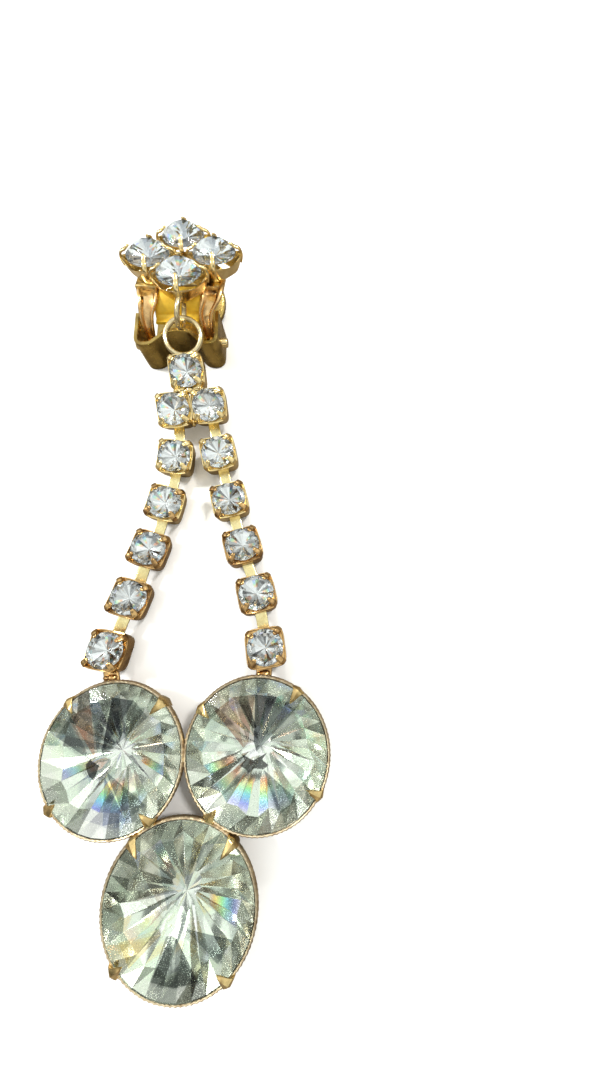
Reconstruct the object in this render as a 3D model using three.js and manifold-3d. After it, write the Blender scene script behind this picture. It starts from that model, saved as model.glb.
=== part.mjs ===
import * as THREE from 'three';
import { mergeVertices } from 'three/addons/utils/BufferGeometryUtils.js';
import Module from 'manifold-3d';

const wasm = await Module();
wasm.setup();

// A clip-on chandelier earring lying on its back, in millimetres with +Z up.
// Three round pendants hang on two rows of square cups from a small junction,
// and a jump ring links the junction to the four-stone top, which carries the clip.

// Large pendants.
const rivoliDiameter = 13.9;
const rivoliCrown = 1.9;
const rivoliBack = 2.95;
const rivoliGirdle = 0.25;
const rivoliWedges = 16;
const rimWall = 0.35;
const rimDiameter = rivoliDiameter + 2 * rimWall;
const largeFlare = 2.2;
const largeSeat = 3.6;
const largeWall = 0.3;
const largeFloor = 0.4;
const largeSides = 32;
const largeProngReach = 1.1;
const largeProngWidth = 1.5;
const solderOverlap = 0.1;
const tabWidth = 1.7;
const tabThickness = 0.5;
const tabDrop = 1.5;

// Small square cups and their stones.
const cupWidth = 4.3;
const cupBase = 3.95;
const cupHeight = 2.35;
const cupWall = 0.27;
const cupCorner = 0.9;
const cupDip = 0.15;
const smallStone = 3.8;
const slotWidth = 1.75;
const slotHeight = 0.75;
const slotLevel = 0.9;

// Flat connecting links of the rows.
const linkWidth = 1.3;
const linkThickness = 0.3;
const linkHead = 2.1;
const linkHeadLength = 0.5;
const linkPass = 0.85;

// Four-stone top.
const cellPitch = 5.6;
const cellBase = 4.2;
const cellHeight = 2.0;
const cellDip = 0.5;
const topStone = 5.2;
const hangingHole = 1.35;
const hangingDrop = 0.8;
const jumpInset = 0.5;
const jumpAside = 0.08;

// Stone proportions and the play left round every stone.
const girdleShare = 0.05;
const crownShare = 0.165;
const backShare = 0.36;
const tableShare = 0.55;
const stonePlay = 0.1;
const seatPlay = 0.12;
const prongThickness = 0.28;

// Rings.
const wire = 0.62;
const eyeOuter = 4.9;
const jumpOuter = 3.8;
const ringSides = 16;
const wireSides = 6;

// Clip frame and lever.
const pivotHeight = 2.3;
const pivotPin = 1.2;
const pivotPlay = 0.1;
const pinProud = 0.7;
const frameSheet = 0.6;
const hingeWidth = 8.7;
const legRise = 4.05;
const legRun = 6;
const legLean = 0.95;
const leverSheet = 0.5;
const leverWidth = 10.2;
const leverHeight = 4.6;
const lobeDepth = 1.75;
const neckLength = 3.4;
const paddleThickness = 0.8;
const paddleLength = 11.6;
const paddleWidth = 10;
const paddleNeck = 8.6;

// Resting pose: places on the surface, turns and tilts in degrees.
const pendantPlace = { x: -13.94, y: -11.27, turn: -3.3 };
const junctionPlace = { x: -12.12, y: 31.75, z: 3.25, turn: 1, tilt: 18.5 };
const clipPlace = { x: -13.5, y: 37.75, turn: -5 };
const topPlace = { x: 1.4, y: 7.6, z: 8.1, turn: 4, tilt: -12.7, roll: 3 };
const endCups = [
  { side: 'left', angle: 100, standOff: 2.88, heading: 12.5, tilt: -6, roll: 0, lift: 0.75 },
  { side: 'right', angle: 85.1, standOff: 2.39, heading: -7, tilt: -7, roll: 3, lift: 0.75 },
];
const largeProngAngles = {
  left: [130, 45, 218, 308],
  right: [53, 142, 230, 328],
  bottom: [130, 46, 219, 311],
};
// Where each loose cup lies, from the junction to the pendants: its height above
// the surface and nod along the row, then its place and sideways lean in either row.
const rowPoses = [
  { lift: 0.85, tilt: 6, left: { x: -14.65, y: 21.55, roll: 5 }, right: { x: -9.28, y: 21.43, roll: 0 } },
  { lift: 0.46, tilt: 0, left: { x: -16.24, y: 15.77, roll: 9 }, right: { x: -8.37, y: 15.27, roll: 2 } },
  { lift: 0.46, tilt: -6, left: { x: -18.25, y: 10.2, roll: 9 }, right: { x: -7.25, y: 9.38, roll: 6 } },
  { lift: 0.6, tilt: -8, left: { x: -20.38, y: 4.68, roll: 8 }, right: { x: -6.0, y: 3.7, roll: 6 } },
];

const degrees = THREE.MathUtils.degToRad;
const gold = { color: 0xd6a23c, roughness: 0.28, metalness: 1 };
const agedGold = { color: 0xb98a38, roughness: 0.34, metalness: 1 };
const glass = { color: 0xe9f0ee, roughness: 0.04, metalness: 0 };

// Solid from a stack of rings, each one a loop seen counter-clockwise from the
// far end. A ring of one point is a tip, and neighbours may differ by a factor two.
function stack(rings, loop = false) {
  const positions = [];
  const triangles = [];
  const starts = [];
  for (const ring of rings) {
    starts.push(positions.length / 3);
    for (const p of ring) positions.push(p.x, p.y, p.z);
  }
  const bands = loop ? rings.length : rings.length - 1;
  for (let i = 0; i < bands; i++) {
    const next = (i + 1) % rings.length;
    const m = rings[i].length;
    const n = rings[next].length;
    const a = (k) => starts[i] + (k % m);
    const b = (k) => starts[next] + (k % n);
    for (let k = 0; k < Math.min(m, n) || (k < Math.max(m, n) && Math.min(m, n) === 1); k++) {
      if (m === 1) triangles.push(a(0), b(k + 1), b(k));
      else if (n === 1) triangles.push(a(k), a(k + 1), b(0));
      else if (m === n) triangles.push(a(k), a(k + 1), b(k + 1), a(k), b(k + 1), b(k));
      else if (n === 2 * m) {
        triangles.push(a(k), b(2 * k + 1), b(2 * k));
        triangles.push(a(k), a(k + 1), b(2 * k + 1));
        triangles.push(a(k + 1), b(2 * k + 2), b(2 * k + 1));
      } else {
        triangles.push(a(2 * k), a(2 * k + 1), b(k));
        triangles.push(a(2 * k + 1), b(k + 1), b(k));
        triangles.push(a(2 * k + 1), a(2 * k + 2), b(k + 1));
      }
    }
  }
  const geometry = new THREE.BufferGeometry();
  geometry.setAttribute('position', new THREE.Float32BufferAttribute(positions, 3));
  geometry.setIndex(triangles);
  return geometry;
}

const tip = (z) => [new THREE.Vector3(0, 0, z)];

function circle(sides, radius, z, start = 0) {
  return Array.from({ length: sides }, (_, k) => {
    const angle = start + (k * 2 * Math.PI) / sides;
    return new THREE.Vector3(radius * Math.cos(angle), radius * Math.sin(angle), z);
  });
}

// Square loop with rounded corners, its edge lower by dip at the middle of each side.
function squareLoop(width, corner, z, dip = 0) {
  const half = width / 2;
  const bend = corner * (1 - Math.SQRT1_2);
  const quarter = [
    [half, 0, z - dip],
    [half, half - corner, z],
    [half - bend, half - bend, z],
    [half - corner, half, z],
  ];
  const up = new THREE.Vector3(0, 0, 1);
  const loop = [];
  for (let turn = 0; turn < 4; turn++) {
    for (const p of quarter) loop.push(new THREE.Vector3(...p).applyAxisAngle(up, (turn * Math.PI) / 2));
  }
  return loop;
}

// Bar along a path: across is the direction that stays fixed, and each section
// is a loop of [along across, away from it] pairs.
function bar(path, across, sections) {
  const rings = path.map((point, i) => {
    const ahead = path[Math.min(i + 1, path.length - 1)];
    const behind = path[Math.max(i - 1, 0)];
    const forward = ahead.clone().sub(behind).normalize();
    const away = forward.clone().cross(across).normalize();
    return sections[i].map(([u, v]) => point.clone().addScaledVector(across, u).addScaledVector(away, v));
  });
  const sumOf = (ring) => ring.reduce((sum, p) => sum.add(p), new THREE.Vector3());
  const middle = (ring) => [sumOf(ring).divideScalar(ring.length)];
  return stack([middle(rings[0]), ...rings, middle(rings[rings.length - 1])]);
}

const flatSection = (half, thickness) => [
  [half, -thickness / 2],
  [half, thickness / 2],
  [-half, thickness / 2],
  [-half, -thickness / 2],
];

const ridgeSection = (half, thickness) => [
  [half, thickness / 2],
  [-half, thickness / 2],
  [0, -thickness],
];

// Strip section with a shallow channel along its outer face.
const channelSection = (half, thickness) => [
  [half, -thickness / 2],
  [half, thickness / 2],
  [-half, thickness / 2],
  [-half, -thickness / 2],
  [-half * 0.45, -thickness * 0.12],
  [half * 0.45, -thickness * 0.12],
];

function toSolid(geometry) {
  const bare = geometry.clone();
  bare.deleteAttribute('normal');
  bare.deleteAttribute('uv');
  const merged = mergeVertices(bare, 1e-4);
  const vertProperties = new Float32Array(merged.attributes.position.array);
  const triVerts = new Uint32Array(merged.index.array);
  return new wasm.Manifold(new wasm.Mesh({ numProp: 3, vertProperties, triVerts }));
}

function toGeometry(solid) {
  const mesh = solid.getMesh();
  const geometry = new THREE.BufferGeometry();
  geometry.setAttribute('position', new THREE.Float32BufferAttribute(mesh.vertProperties, 3));
  geometry.setIndex(Array.from(mesh.triVerts));
  return geometry;
}

function join(geometries) {
  return geometries.map(toSolid).reduce((whole, piece) => whole.add(piece));
}

function turnedAbout(geometry, angle) {
  return geometry.clone().rotateZ(angle);
}

// Round brilliant stone with a flat table, girdle from z = 0 upwards.
function roundStone(diameter) {
  const radius = diameter / 2;
  const girdle = diameter * girdleShare;
  const table = girdle + diameter * crownShare;
  return stack([
    tip(-diameter * backShare),
    circle(16, radius, 0),
    circle(16, radius, girdle),
    circle(8, radius * tableShare, table),
    tip(table),
  ]);
}

// Pointed round stone: long wedges to the tip and a short row at the girdle.
function rivoliStone() {
  const radius = rivoliDiameter / 2;
  const frontRow = { radius: radius * 0.8, z: rivoliGirdle + rivoliCrown * 0.37 };
  const backRow = { radius: radius * 0.72, z: -rivoliBack * 0.36 };
  return stack([
    tip(-rivoliBack),
    circle(rivoliWedges, backRow.radius, backRow.z),
    circle(rivoliWedges * 2, radius, 0),
    circle(rivoliWedges * 2, radius, rivoliGirdle),
    circle(rivoliWedges, frontRow.radius, frontRow.z),
    tip(rivoliGirdle + rivoliCrown),
  ]);
}

// Prong that rises from a wall at distance wallAt from the axis and bends over
// a stone: girdleTop and slope describe the crown under it.
function prong({ angle, wallAt, wallTop, root, stoneRadius, girdleTop, slope, reach, width, pointed }) {
  const lean = Math.sqrt(1 + slope * slope);
  const half = prongThickness / 2;
  const across = new THREE.Vector3(-Math.sin(angle), Math.cos(angle), 0);
  const profile = [
    [wallAt - root * 0.18, wallTop - root],
    [wallAt, wallTop],
    [(wallAt + stoneRadius) / 2 + 0.08, girdleTop + 0.22],
    [stoneRadius - 0.1, girdleTop + half + 0.28],
    [stoneRadius - reach, girdleTop + slope * reach + (stonePlay + half) * lean],
  ];
  const path = profile.map(([r, z]) => new THREE.Vector3(r * Math.cos(angle), r * Math.sin(angle), z));
  const taper = pointed ? [1, 1, 0.85, 0.55, 0.12] : [0.9, 1, 1, 0.9, 0.7];
  const section = pointed ? ridgeSection : flatSection;
  return bar(path, across, taper.map((share) => section((width * share) / 2, prongThickness)));
}

// How far the middle of a cup's wall is from its axis at a corner.
const cornerAt = (width) => (width / 2 - cupCorner * (1 - Math.SQRT1_2)) * Math.SQRT2 - cupWall / 2;

// Square cup with four corner prongs, base at z = 0. A cup without a floor is
// open at the back.
function squareCup({ width, base, height, dip, stone, floor, prongWidth, prongReach }) {
  const innerCorner = cupCorner - cupWall * 0.6;
  const inside = (outer) => outer - 2 * cupWall;
  const bottom = floor > 0 ? floor : 0;
  const baseInside = inside(base + ((width - base) * bottom) / height);
  const rings = [
    squareLoop(base, cupCorner, 0),
    squareLoop(width, cupCorner, height, dip),
    squareLoop(inside(width), innerCorner, height, dip),
    squareLoop(baseInside, innerCorner, bottom),
  ];
  const shell = floor > 0 ? stack([tip(0), ...rings, tip(floor)]) : stack(rings, true);
  const wallAt = cornerAt(width);
  const prongs = [45, 135, 225, 315].map((angle) => prong({
    angle: degrees(angle),
    wallAt,
    wallTop: height,
    root: 0.5,
    stoneRadius: stone / 2,
    girdleTop: height + seatPlay + stone * girdleShare,
    slope: crownShare / ((1 - tableShare) / 2),
    reach: stone * prongReach,
    width: prongWidth,
    pointed: false,
  }));
  return join([shell, ...prongs]);
}

const slotBox = () => new THREE.BoxGeometry(slotWidth, cupWidth / 2, slotHeight);

// Small cup of the rows, with a slot for a link in each wall that is named.
function rowCup(slots) {
  let cup = squareCup({
    width: cupWidth,
    base: cupBase,
    height: cupHeight,
    dip: cupDip,
    stone: smallStone,
    floor: cupWall,
    prongWidth: 0.68,
    prongReach: 0.07,
  });
  for (const side of slots) {
    cup = cup.subtract(toSolid(slotBox().translate(0, side * cupWidth * 0.5, slotLevel)));
  }
  return toGeometry(cup);
}

// Flat link between two slots, with a wider head inside each cup.
function rowLink(from, to) {
  const along = to.clone().sub(from);
  const span = along.length();
  const strip = new THREE.BoxGeometry(linkWidth, span + 2 * linkPass, linkThickness);
  const headAt = span / 2 + linkPass + linkHeadLength / 2 - 0.02;
  const heads = [-1, 1].map((end) => (
    new THREE.BoxGeometry(linkHead, linkHeadLength, linkThickness).translate(0, end * headAt, 0)
  ));
  return toGeometry(join([strip, ...heads]));
}

// Radius of a large setting's cone at a height below its rim.
function coneRadius(z) {
  const base = rimDiameter / 2 - largeFlare;
  return base + ((largeFlare - largeWall) * z) / (largeSeat - 0.75);
}

// Round conical setting with a rolled rim, base at z = 0 and girdle seat at largeSeat.
function largeSetting(prongAngles) {
  const rim = rimDiameter / 2;
  const stone = rivoliDiameter / 2;
  const base = rim - largeFlare;
  const circleAt = (radius, z) => circle(largeSides, radius, z);
  const shell = stack([
    tip(0),
    circleAt(base, 0),
    circleAt(rim - largeWall, largeSeat - 0.75),
    circleAt(rim, largeSeat - 0.35),
    circleAt(rim, largeSeat - 0.02),
    circleAt(rim - 0.12, largeSeat + 0.12),
    circleAt(stone + stonePlay, largeSeat + 0.06),
    circleAt(stone + stonePlay, largeSeat - seatPlay),
    circleAt(stone - 2.2 * largeWall, largeSeat - seatPlay - 0.45),
    circleAt(base - largeWall, largeFloor),
    tip(largeFloor),
  ]);
  const slope = (rivoliCrown * 0.37) / ((rivoliDiameter / 2) * 0.2);
  const prongs = prongAngles.map((angle) => prong({
    angle: degrees(angle),
    wallAt: rim - prongThickness / 2 + 0.04,
    wallTop: largeSeat - 0.05,
    root: 0.6,
    stoneRadius: stone,
    girdleTop: largeSeat + rivoliGirdle,
    slope,
    reach: largeProngReach,
    width: largeProngWidth,
    pointed: true,
  }));
  return toGeometry(join([shell, ...prongs]));
}

const wireRing = (outer) => new THREE.TorusGeometry((outer - wire) / 2, wire / 2, wireSides, ringSides);

function named(name, geometry, look) {
  const mesh = new THREE.Mesh(geometry, new THREE.MeshStandardMaterial(look));
  mesh.name = name;
  return mesh;
}

function placed(object, { x = 0, y = 0, z = 0, turn = 0, tilt = 0, roll = 0 }) {
  object.position.set(x, y, z);
  object.rotation.set(degrees(tilt), degrees(roll), degrees(turn), 'ZXY');
  object.updateMatrix();
  return object;
}

const smallStoneSeat = cupHeight + seatPlay;
const earring = new THREE.Group();

// Pendants: three large settings rim to rim, with the last cup of each row
// soldered to the upper two.
const pendant = placed(new THREE.Group(), pendantPlace);
const spacing = rimDiameter - solderOverlap;
const largePlaces = {
  left: { x: -spacing / 2, y: 0 },
  right: { x: spacing / 2, y: 0 },
  bottom: { x: 0, y: (-spacing * Math.sqrt(3)) / 2 },
};
const pendantMetal = Object.entries(largePlaces).map(([side, { x, y }]) => (
  toSolid(largeSetting(largeProngAngles[side]).translate(x, y, 0))
));
const endPlaces = endCups.map(({ side, angle, standOff, heading, tilt, roll, lift }) => ({
  side,
  x: largePlaces[side].x + (rimDiameter / 2 + standOff) * Math.cos(degrees(angle)),
  y: largePlaces[side].y + (rimDiameter / 2 + standOff) * Math.sin(degrees(angle)),
  z: lift,
  turn: -heading,
  tilt,
  roll,
}));
for (const place of endPlaces) {
  const holder = placed(new THREE.Object3D(), place);
  pendantMetal.push(toSolid(rowCup([1]).applyMatrix4(holder.matrix)));
  const centre = largePlaces[place.side];
  const away = new THREE.Vector3(place.x - centre.x, place.y - centre.y, 0);
  const tabStart = coneRadius(largeSeat - tabDrop) - largeWall / 2;
  const tabLength = away.length() - cupWidth / 2 + 1.5 * cupWall - tabStart;
  const middle = away.clone().setLength(tabStart + tabLength / 2);
  const tab = new THREE.BoxGeometry(tabWidth, tabLength, tabThickness);
  tab.rotateZ(Math.atan2(away.y, away.x) - Math.PI / 2);
  tab.translate(centre.x + middle.x, centre.y + middle.y, largeSeat - tabDrop);
  pendantMetal.push(toSolid(tab));
}
pendant.add(named('pendant_setting', toGeometry(pendantMetal.reduce((a, b) => a.add(b))), agedGold));
for (const [side, { x, y }] of Object.entries(largePlaces)) {
  pendant.add(placed(named(`rivoli_${side}`, rivoliStone(), glass), { x, y, z: largeSeat }));
}
for (const place of endPlaces) {
  const seat = placed(new THREE.Group(), place);
  seat.add(placed(named(`row_stone_${place.side}_5`, roundStone(smallStone), glass), { z: smallStoneSeat }));
  pendant.add(seat);
}
earring.add(pendant);

// Junction: one cup above a pair, soldered together, and the eye ring above them.
const junction = placed(new THREE.Group(), junctionPlace);
const cupStep = cupWidth - 0.05;
const junctionCups = [
  { name: 'junction_stone_top', x: 0, y: 0, slots: [] },
  { name: 'junction_stone_left', x: -cupStep / 2, y: -cupStep, slots: [-1] },
  { name: 'junction_stone_right', x: cupStep / 2, y: -cupStep, slots: [-1] },
];
const eyeRadius = (eyeOuter - wire) / 2;
const eyeY = cupWidth / 2 + eyeRadius + wire / 2 - 0.25;
const eyeZ = cupHeight * 0.62;
const junctionMetal = junctionCups.map(({ x, y, slots }) => toSolid(rowCup(slots).translate(x, y, 0)));
junctionMetal.push(toSolid(wireRing(eyeOuter).translate(0, eyeY, eyeZ)));
junction.add(named('junction_setting', toGeometry(junctionMetal.reduce((a, b) => a.add(b))), gold));
for (const { name, x, y } of junctionCups) {
  junction.add(placed(named(name, roundStone(smallStone), glass), { x, y, z: smallStoneSeat }));
}
earring.add(junction);
earring.updateMatrixWorld(true);

// Rows: four loose cups a side from the junction to the pendants, each turned
// to face its neighbours, and a link between the slots of each two.
const slotAt = (y) => new THREE.Vector3(0, y * (cupWidth / 2 - 0.32), slotLevel);
for (const [k, side] of ['left', 'right'].entries()) {
  const pairCup = { x: junctionCups[k + 1].x, y: junctionCups[k + 1].y };
  const first = new THREE.Vector3(pairCup.x, pairCup.y, 0).applyMatrix4(junction.matrix);
  const lastCup = placed(new THREE.Object3D(), endPlaces[k]);
  const last = new THREE.Vector3(0, 0, 0).applyMatrix4(lastCup.matrix).applyMatrix4(pendant.matrix);
  const steps = rowPoses.length + 1;
  const loose = rowPoses.map((pose) => new THREE.Vector3(pose[side].x, pose[side].y, pose.lift));
  const stations = [first, ...loose, last];
  const ends = [placed(new THREE.Object3D(), pairCup).matrix.premultiply(junction.matrix)];
  const leans = [0];
  for (const [i, pose] of rowPoses.entries()) {
    const back = stations[i].clone().sub(stations[i + 2]);
    const turn = THREE.MathUtils.radToDeg(Math.atan2(-back.x, back.y));
    const { x, y, roll } = pose[side];
    const cup = placed(new THREE.Group(), { x, y, z: pose.lift, turn, tilt: pose.tilt, roll });
    cup.add(named(`row_cup_${side}_${i + 1}`, rowCup([-1, 1]), gold));
    const stone = named(`row_stone_${side}_${i + 1}`, roundStone(smallStone), glass);
    cup.add(placed(stone, { z: smallStoneSeat }));
    earring.add(cup);
    ends.push(cup.matrix.clone());
    leans.push(roll);
  }
  leans.push(endPlaces[k].roll);
  ends.push(new THREE.Matrix4().multiplyMatrices(pendant.matrix, lastCup.matrix));
  for (let i = 0; i < steps; i++) {
    const from = slotAt(-1).applyMatrix4(ends[i]);
    const to = slotAt(1).applyMatrix4(ends[i + 1]);
    const along = from.clone().sub(to).normalize();
    const link = named(`row_link_${side}_${i + 1}`, rowLink(from, to), gold);
    placed(link, {
      turn: THREE.MathUtils.radToDeg(Math.atan2(-along.x, along.y)),
      tilt: THREE.MathUtils.radToDeg(Math.asin(along.z)),
      roll: (leans[i] + leans[i + 1]) / 2,
    });
    link.position.copy(from.clone().add(to).multiplyScalar(0.5));
    earring.add(link);
  }
}

// Top: four open-backed cells set as a diamond, soldered to the clip frame.
const clip = placed(new THREE.Group(), clipPlace);
const top = placed(new THREE.Group(), topPlace);
const cellAt = cellPitch / Math.SQRT2;
const cells = [
  { name: 'top_stone_north', x: 0, y: cellAt },
  { name: 'top_stone_east', x: cellAt, y: 0 },
  { name: 'top_stone_south', x: 0, y: -cellAt },
  { name: 'top_stone_west', x: -cellAt, y: 0 },
];
const cell = toGeometry(squareCup({
  width: cellPitch + 0.04,
  base: cellBase,
  height: cellHeight,
  dip: cellDip,
  stone: topStone,
  floor: 0,
  prongWidth: 0.62,
  prongReach: 0.12,
}));
cell.rotateZ(Math.PI / 4).translate(0, 0, -cellHeight);
let topMetal = cells.map(({ x, y }) => toSolid(cell.clone().translate(x, y, 0))).reduce((a, b) => a.add(b));
const cellCorner = (drop) => cellAt + cornerAt(cellPitch + ((cellBase - cellPitch) * drop) / cellHeight);
const hole = new THREE.CylinderGeometry(hangingHole / 2, hangingHole / 2, 2 * hangingHole, 12);
topMetal = topMetal.subtract(toSolid(hole.translate(0, -cellCorner(hangingDrop) - 0.4, -hangingDrop)));

const plate = new THREE.Shape([
  [-5.9, -2.9],
  [4.9, -2.9],
  [4.9, 0.6],
  [2.6, 3.2],
  [-3.2, 3.2],
  [-5.9, 0.6],
].map(([x, y]) => new THREE.Vector2(x, y)));
const plateSolid = new THREE.ExtrudeGeometry(plate, { depth: frameSheet, bevelEnabled: false });
plateSolid.translate(0, 0, -cellHeight - frameSheet + 0.05).rotateZ(degrees(-topPlace.turn));
topMetal = topMetal.add(toSolid(plateSolid));
const topInClip = toSolid(toGeometry(topMetal).applyMatrix4(top.matrix));

// Clip frame: two channelled legs and a spring tongue between them. Stations
// run from the pivot up and over to the plate, half-widths from the middle line.
const backLevel = (y) => {
  const tilt = degrees(-topPlace.tilt);
  const under = cellHeight + frameSheet / 2 - 0.05;
  return topPlace.z - under / Math.cos(tilt) - (y - topPlace.y) * Math.tan(tilt);
};
const hingeHalf = hingeWidth / 2;
// Shares: along of legRun, rise of legRise, lean of legLean, inner and outer of
// hingeHalf. Where rise is null the strip lies flat under the plate.
const legStations = [
  { along: -0.017, rise: -0.136, lean: 0, inner: 0.77, outer: 1 },
  { along: 0.017, rise: 0.074, lean: 0, inner: 0.77, outer: 1 },
  { along: 0.075, rise: 0.296, lean: 0.05, inner: 0.736, outer: 1.02 },
  { along: 0.158, rise: 0.543, lean: 0.1, inner: 0.7, outer: 1.03 },
  { along: 0.267, rise: 0.79, lean: 0.25, inner: 0.655, outer: 1.07 },
  { along: 0.433, rise: 1, lean: 0.85, inner: 0.61, outer: 1.172 },
  { along: 0.667, rise: null, lean: 1, inner: 0.586, outer: 1.24 },
  { along: 1, rise: null, lean: 1, inner: 0.586, outer: 1.26 },
];
const tongueStations = [
  { along: 0.192, rise: 0.556, lean: 0.1, outer: 0.632 },
  { along: 0.283, rise: 0.568, lean: 0.15, outer: 0.632 },
  { along: 0.358, rise: 0.63, lean: 0.25, outer: 0.64 },
  { along: 0.392, rise: 0.741, lean: 0.4, outer: 0.65 },
  { along: 0.458, rise: 0.889, lean: 0.6, outer: 0.66 },
  { along: 0.567, rise: 1.012, lean: 0.85, outer: 0.66 },
  { along: 0.733, rise: null, lean: 1, outer: 0.64 },
  { along: 1, rise: null, lean: 1, outer: 0.64 },
];
const stationAt = ({ along, rise, lean }, x) => {
  const y = along * legRun;
  const z = rise === null ? backLevel(y) : pivotHeight + rise * legRise;
  return new THREE.Vector3(x + lean * legLean, y, z);
};
const sideways = new THREE.Vector3(1, 0, 0);
const frameMetal = [-1, 1].map((side) => {
  const path = legStations.map((at) => stationAt(at, (side * hingeHalf * (at.inner + at.outer)) / 2));
  const halves = legStations.map(({ inner, outer }) => (hingeHalf * (outer - inner)) / 2);
  return bar(path, sideways, halves.map((half) => channelSection(half, frameSheet)));
});
const tonguePath = tongueStations.map((at) => stationAt(at, 0));
const tongueSections = tongueStations.map(({ outer }) => flatSection(hingeHalf * outer, frameSheet * 0.7));
frameMetal.push(bar(tonguePath, sideways, tongueSections));
const pinStart = (hingeHalf * (legStations[0].inner + legStations[0].outer)) / 2;
const pinReach = (leverWidth + leverSheet) / 2 + pinProud;
for (const side of [-1, 1]) {
  const pinLength = pinReach - pinStart;
  const pin = new THREE.CylinderGeometry(pivotPin / 2, pivotPin / 2, pinLength, 12);
  frameMetal.push(pin.rotateZ(Math.PI / 2).translate(side * (pinStart + pinLength / 2), 0, pivotHeight));
}
const topSolid = frameMetal.map(toSolid).reduce((whole, piece) => whole.add(piece), topInClip);
clip.add(named('top_setting', toGeometry(topSolid), gold));
for (const { name, x, y } of cells) {
  const stone = turnedAbout(roundStone(topStone), Math.PI / 4);
  top.add(placed(named(name, stone, glass), { x, y, z: seatPlay }));
}
clip.add(top);

// Lever: a wall that wraps the legs in two rounded lobes, its floor and the paddle.
// Shares: side of half the lever's width, along of lobeDepth, height of leverHeight.
const lobeStations = [
  { side: 1, along: 1.486, height: 1.04 },
  { side: 1, along: 0.8, height: 1.03 },
  { side: 1, along: -0.514, height: 1.011 },
  { side: 0.967, along: -0.8, height: 1 },
  { side: 0.864, along: -1, height: 1 },
  { side: 0.641, along: -0.943, height: 1 },
  { side: 0.485, along: -0.514, height: 0.989 },
  { side: 0.291, along: 0.057, height: 0.957 },
];
const mirrored = [...lobeStations].reverse().map((at) => ({ ...at, side: -at.side }));
const wallStations = [...lobeStations, { side: 0, along: 0.229, height: 0.946 }, ...mirrored];
const wallFoot = wallStations.map(({ side, along }) => (
  new THREE.Vector3((side * leverWidth) / 2, along * lobeDepth, 0)
));
const up = new THREE.Vector3(0, 0, 1);
const wallSection = (height) => [
  [height, -leverSheet / 2],
  [height, leverSheet / 2],
  [0, leverSheet / 2],
  [0, -leverSheet / 2],
];
const leverWall = bar(wallFoot, up, wallStations.map(({ height }) => wallSection(height * leverHeight)));
const floorShape = new THREE.Shape(wallFoot.map(({ x, y }) => new THREE.Vector2(x, y)));
const leverFloor = new THREE.ExtrudeGeometry(floorShape, { depth: leverSheet, bevelEnabled: false });
const wallEnd = wallFoot[0].y;
const paddleCentre = wallEnd + paddleLength / 2 - 0.4;
const paddleOutline = circle(24, 1, 0).map(({ x, y }) => (
  new THREE.Vector2((x * paddleWidth) / 2, paddleCentre + (y * paddleLength) / 2)
));
const paddleShape = new THREE.Shape(paddleOutline);
const paddle = new THREE.ExtrudeGeometry(paddleShape, { depth: paddleThickness, bevelEnabled: false });
const neck = new THREE.BoxGeometry(paddleNeck, neckLength, paddleThickness);
neck.translate(0, wallEnd + neckLength * 0.3, paddleThickness / 2);
let lever = join([leverWall, leverFloor, paddle, neck]);
const bore = new THREE.CylinderGeometry(pivotPin / 2 + pivotPlay, pivotPin / 2 + pivotPlay, 2 * pinReach, 12);
lever = lever.subtract(toSolid(bore.rotateZ(Math.PI / 2).translate(0, 0, pivotHeight)));
clip.add(named('clip_lever', toGeometry(lever), agedGold));
earring.add(clip);
earring.updateMatrixWorld(true);

// Jump ring: through the hole in the top's lowest corner and round the eye ring.
const jumpRadius = (jumpOuter - wire) / 2;
const ringAbove = new THREE.Vector3(jumpAside, -cellCorner(hangingDrop), -hangingDrop);
const ringBelow = new THREE.Vector3(jumpAside, jumpInset - cellCorner(cellHeight), -cellHeight);
ringAbove.applyMatrix4(top.matrixWorld);
ringBelow.applyMatrix4(top.matrixWorld);
const chord = ringAbove.clone().sub(ringBelow);
const outward = new THREE.Vector3(-0.3, -1, -0.45).normalize();
const jumpAway = outward.addScaledVector(chord, -outward.dot(chord) / chord.lengthSq()).normalize();
const jumpOffset = Math.sqrt(jumpRadius ** 2 - chord.lengthSq() / 4);
const jumpRing = named('jump_ring', wireRing(jumpOuter), gold);
const chordMiddle = ringAbove.clone().add(ringBelow).multiplyScalar(0.5);
jumpRing.position.copy(chordMiddle.addScaledVector(jumpAway, jumpOffset));
const chordWay = chord.clone().normalize();
const basis = new THREE.Matrix4().makeBasis(jumpAway, chordWay, jumpAway.clone().cross(chordWay));
jumpRing.quaternion.setFromRotationMatrix(basis);
earring.add(jumpRing);
earring.updateMatrixWorld(true);

// The origin is under the middle of the whole earring, on the surface.
const bounds = new THREE.Box3().setFromObject(earring, true);
earring.position.set(-(bounds.min.x + bounds.max.x) / 2, -(bounds.min.y + bounds.max.y) / 2, -bounds.min.z);
const group = new THREE.Group();
group.add(earring);
group.updateMatrixWorld(true);

export default group;
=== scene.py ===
# %% [markdown]
# # A chandelier earring, lying on its back
# The earring is cut glass held in folded gold-coloured sheet metal. Three large
# pointed stones hang on two rows of small square cups, which meet in a soldered
# junction under the clip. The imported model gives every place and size. What is
# added here is what light needs: real facets, foil behind the glass, rolled metal
# edges and the wear of a piece that has been worn.

import bpy
import numpy as np
from mathutils import Matrix, Vector


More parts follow.
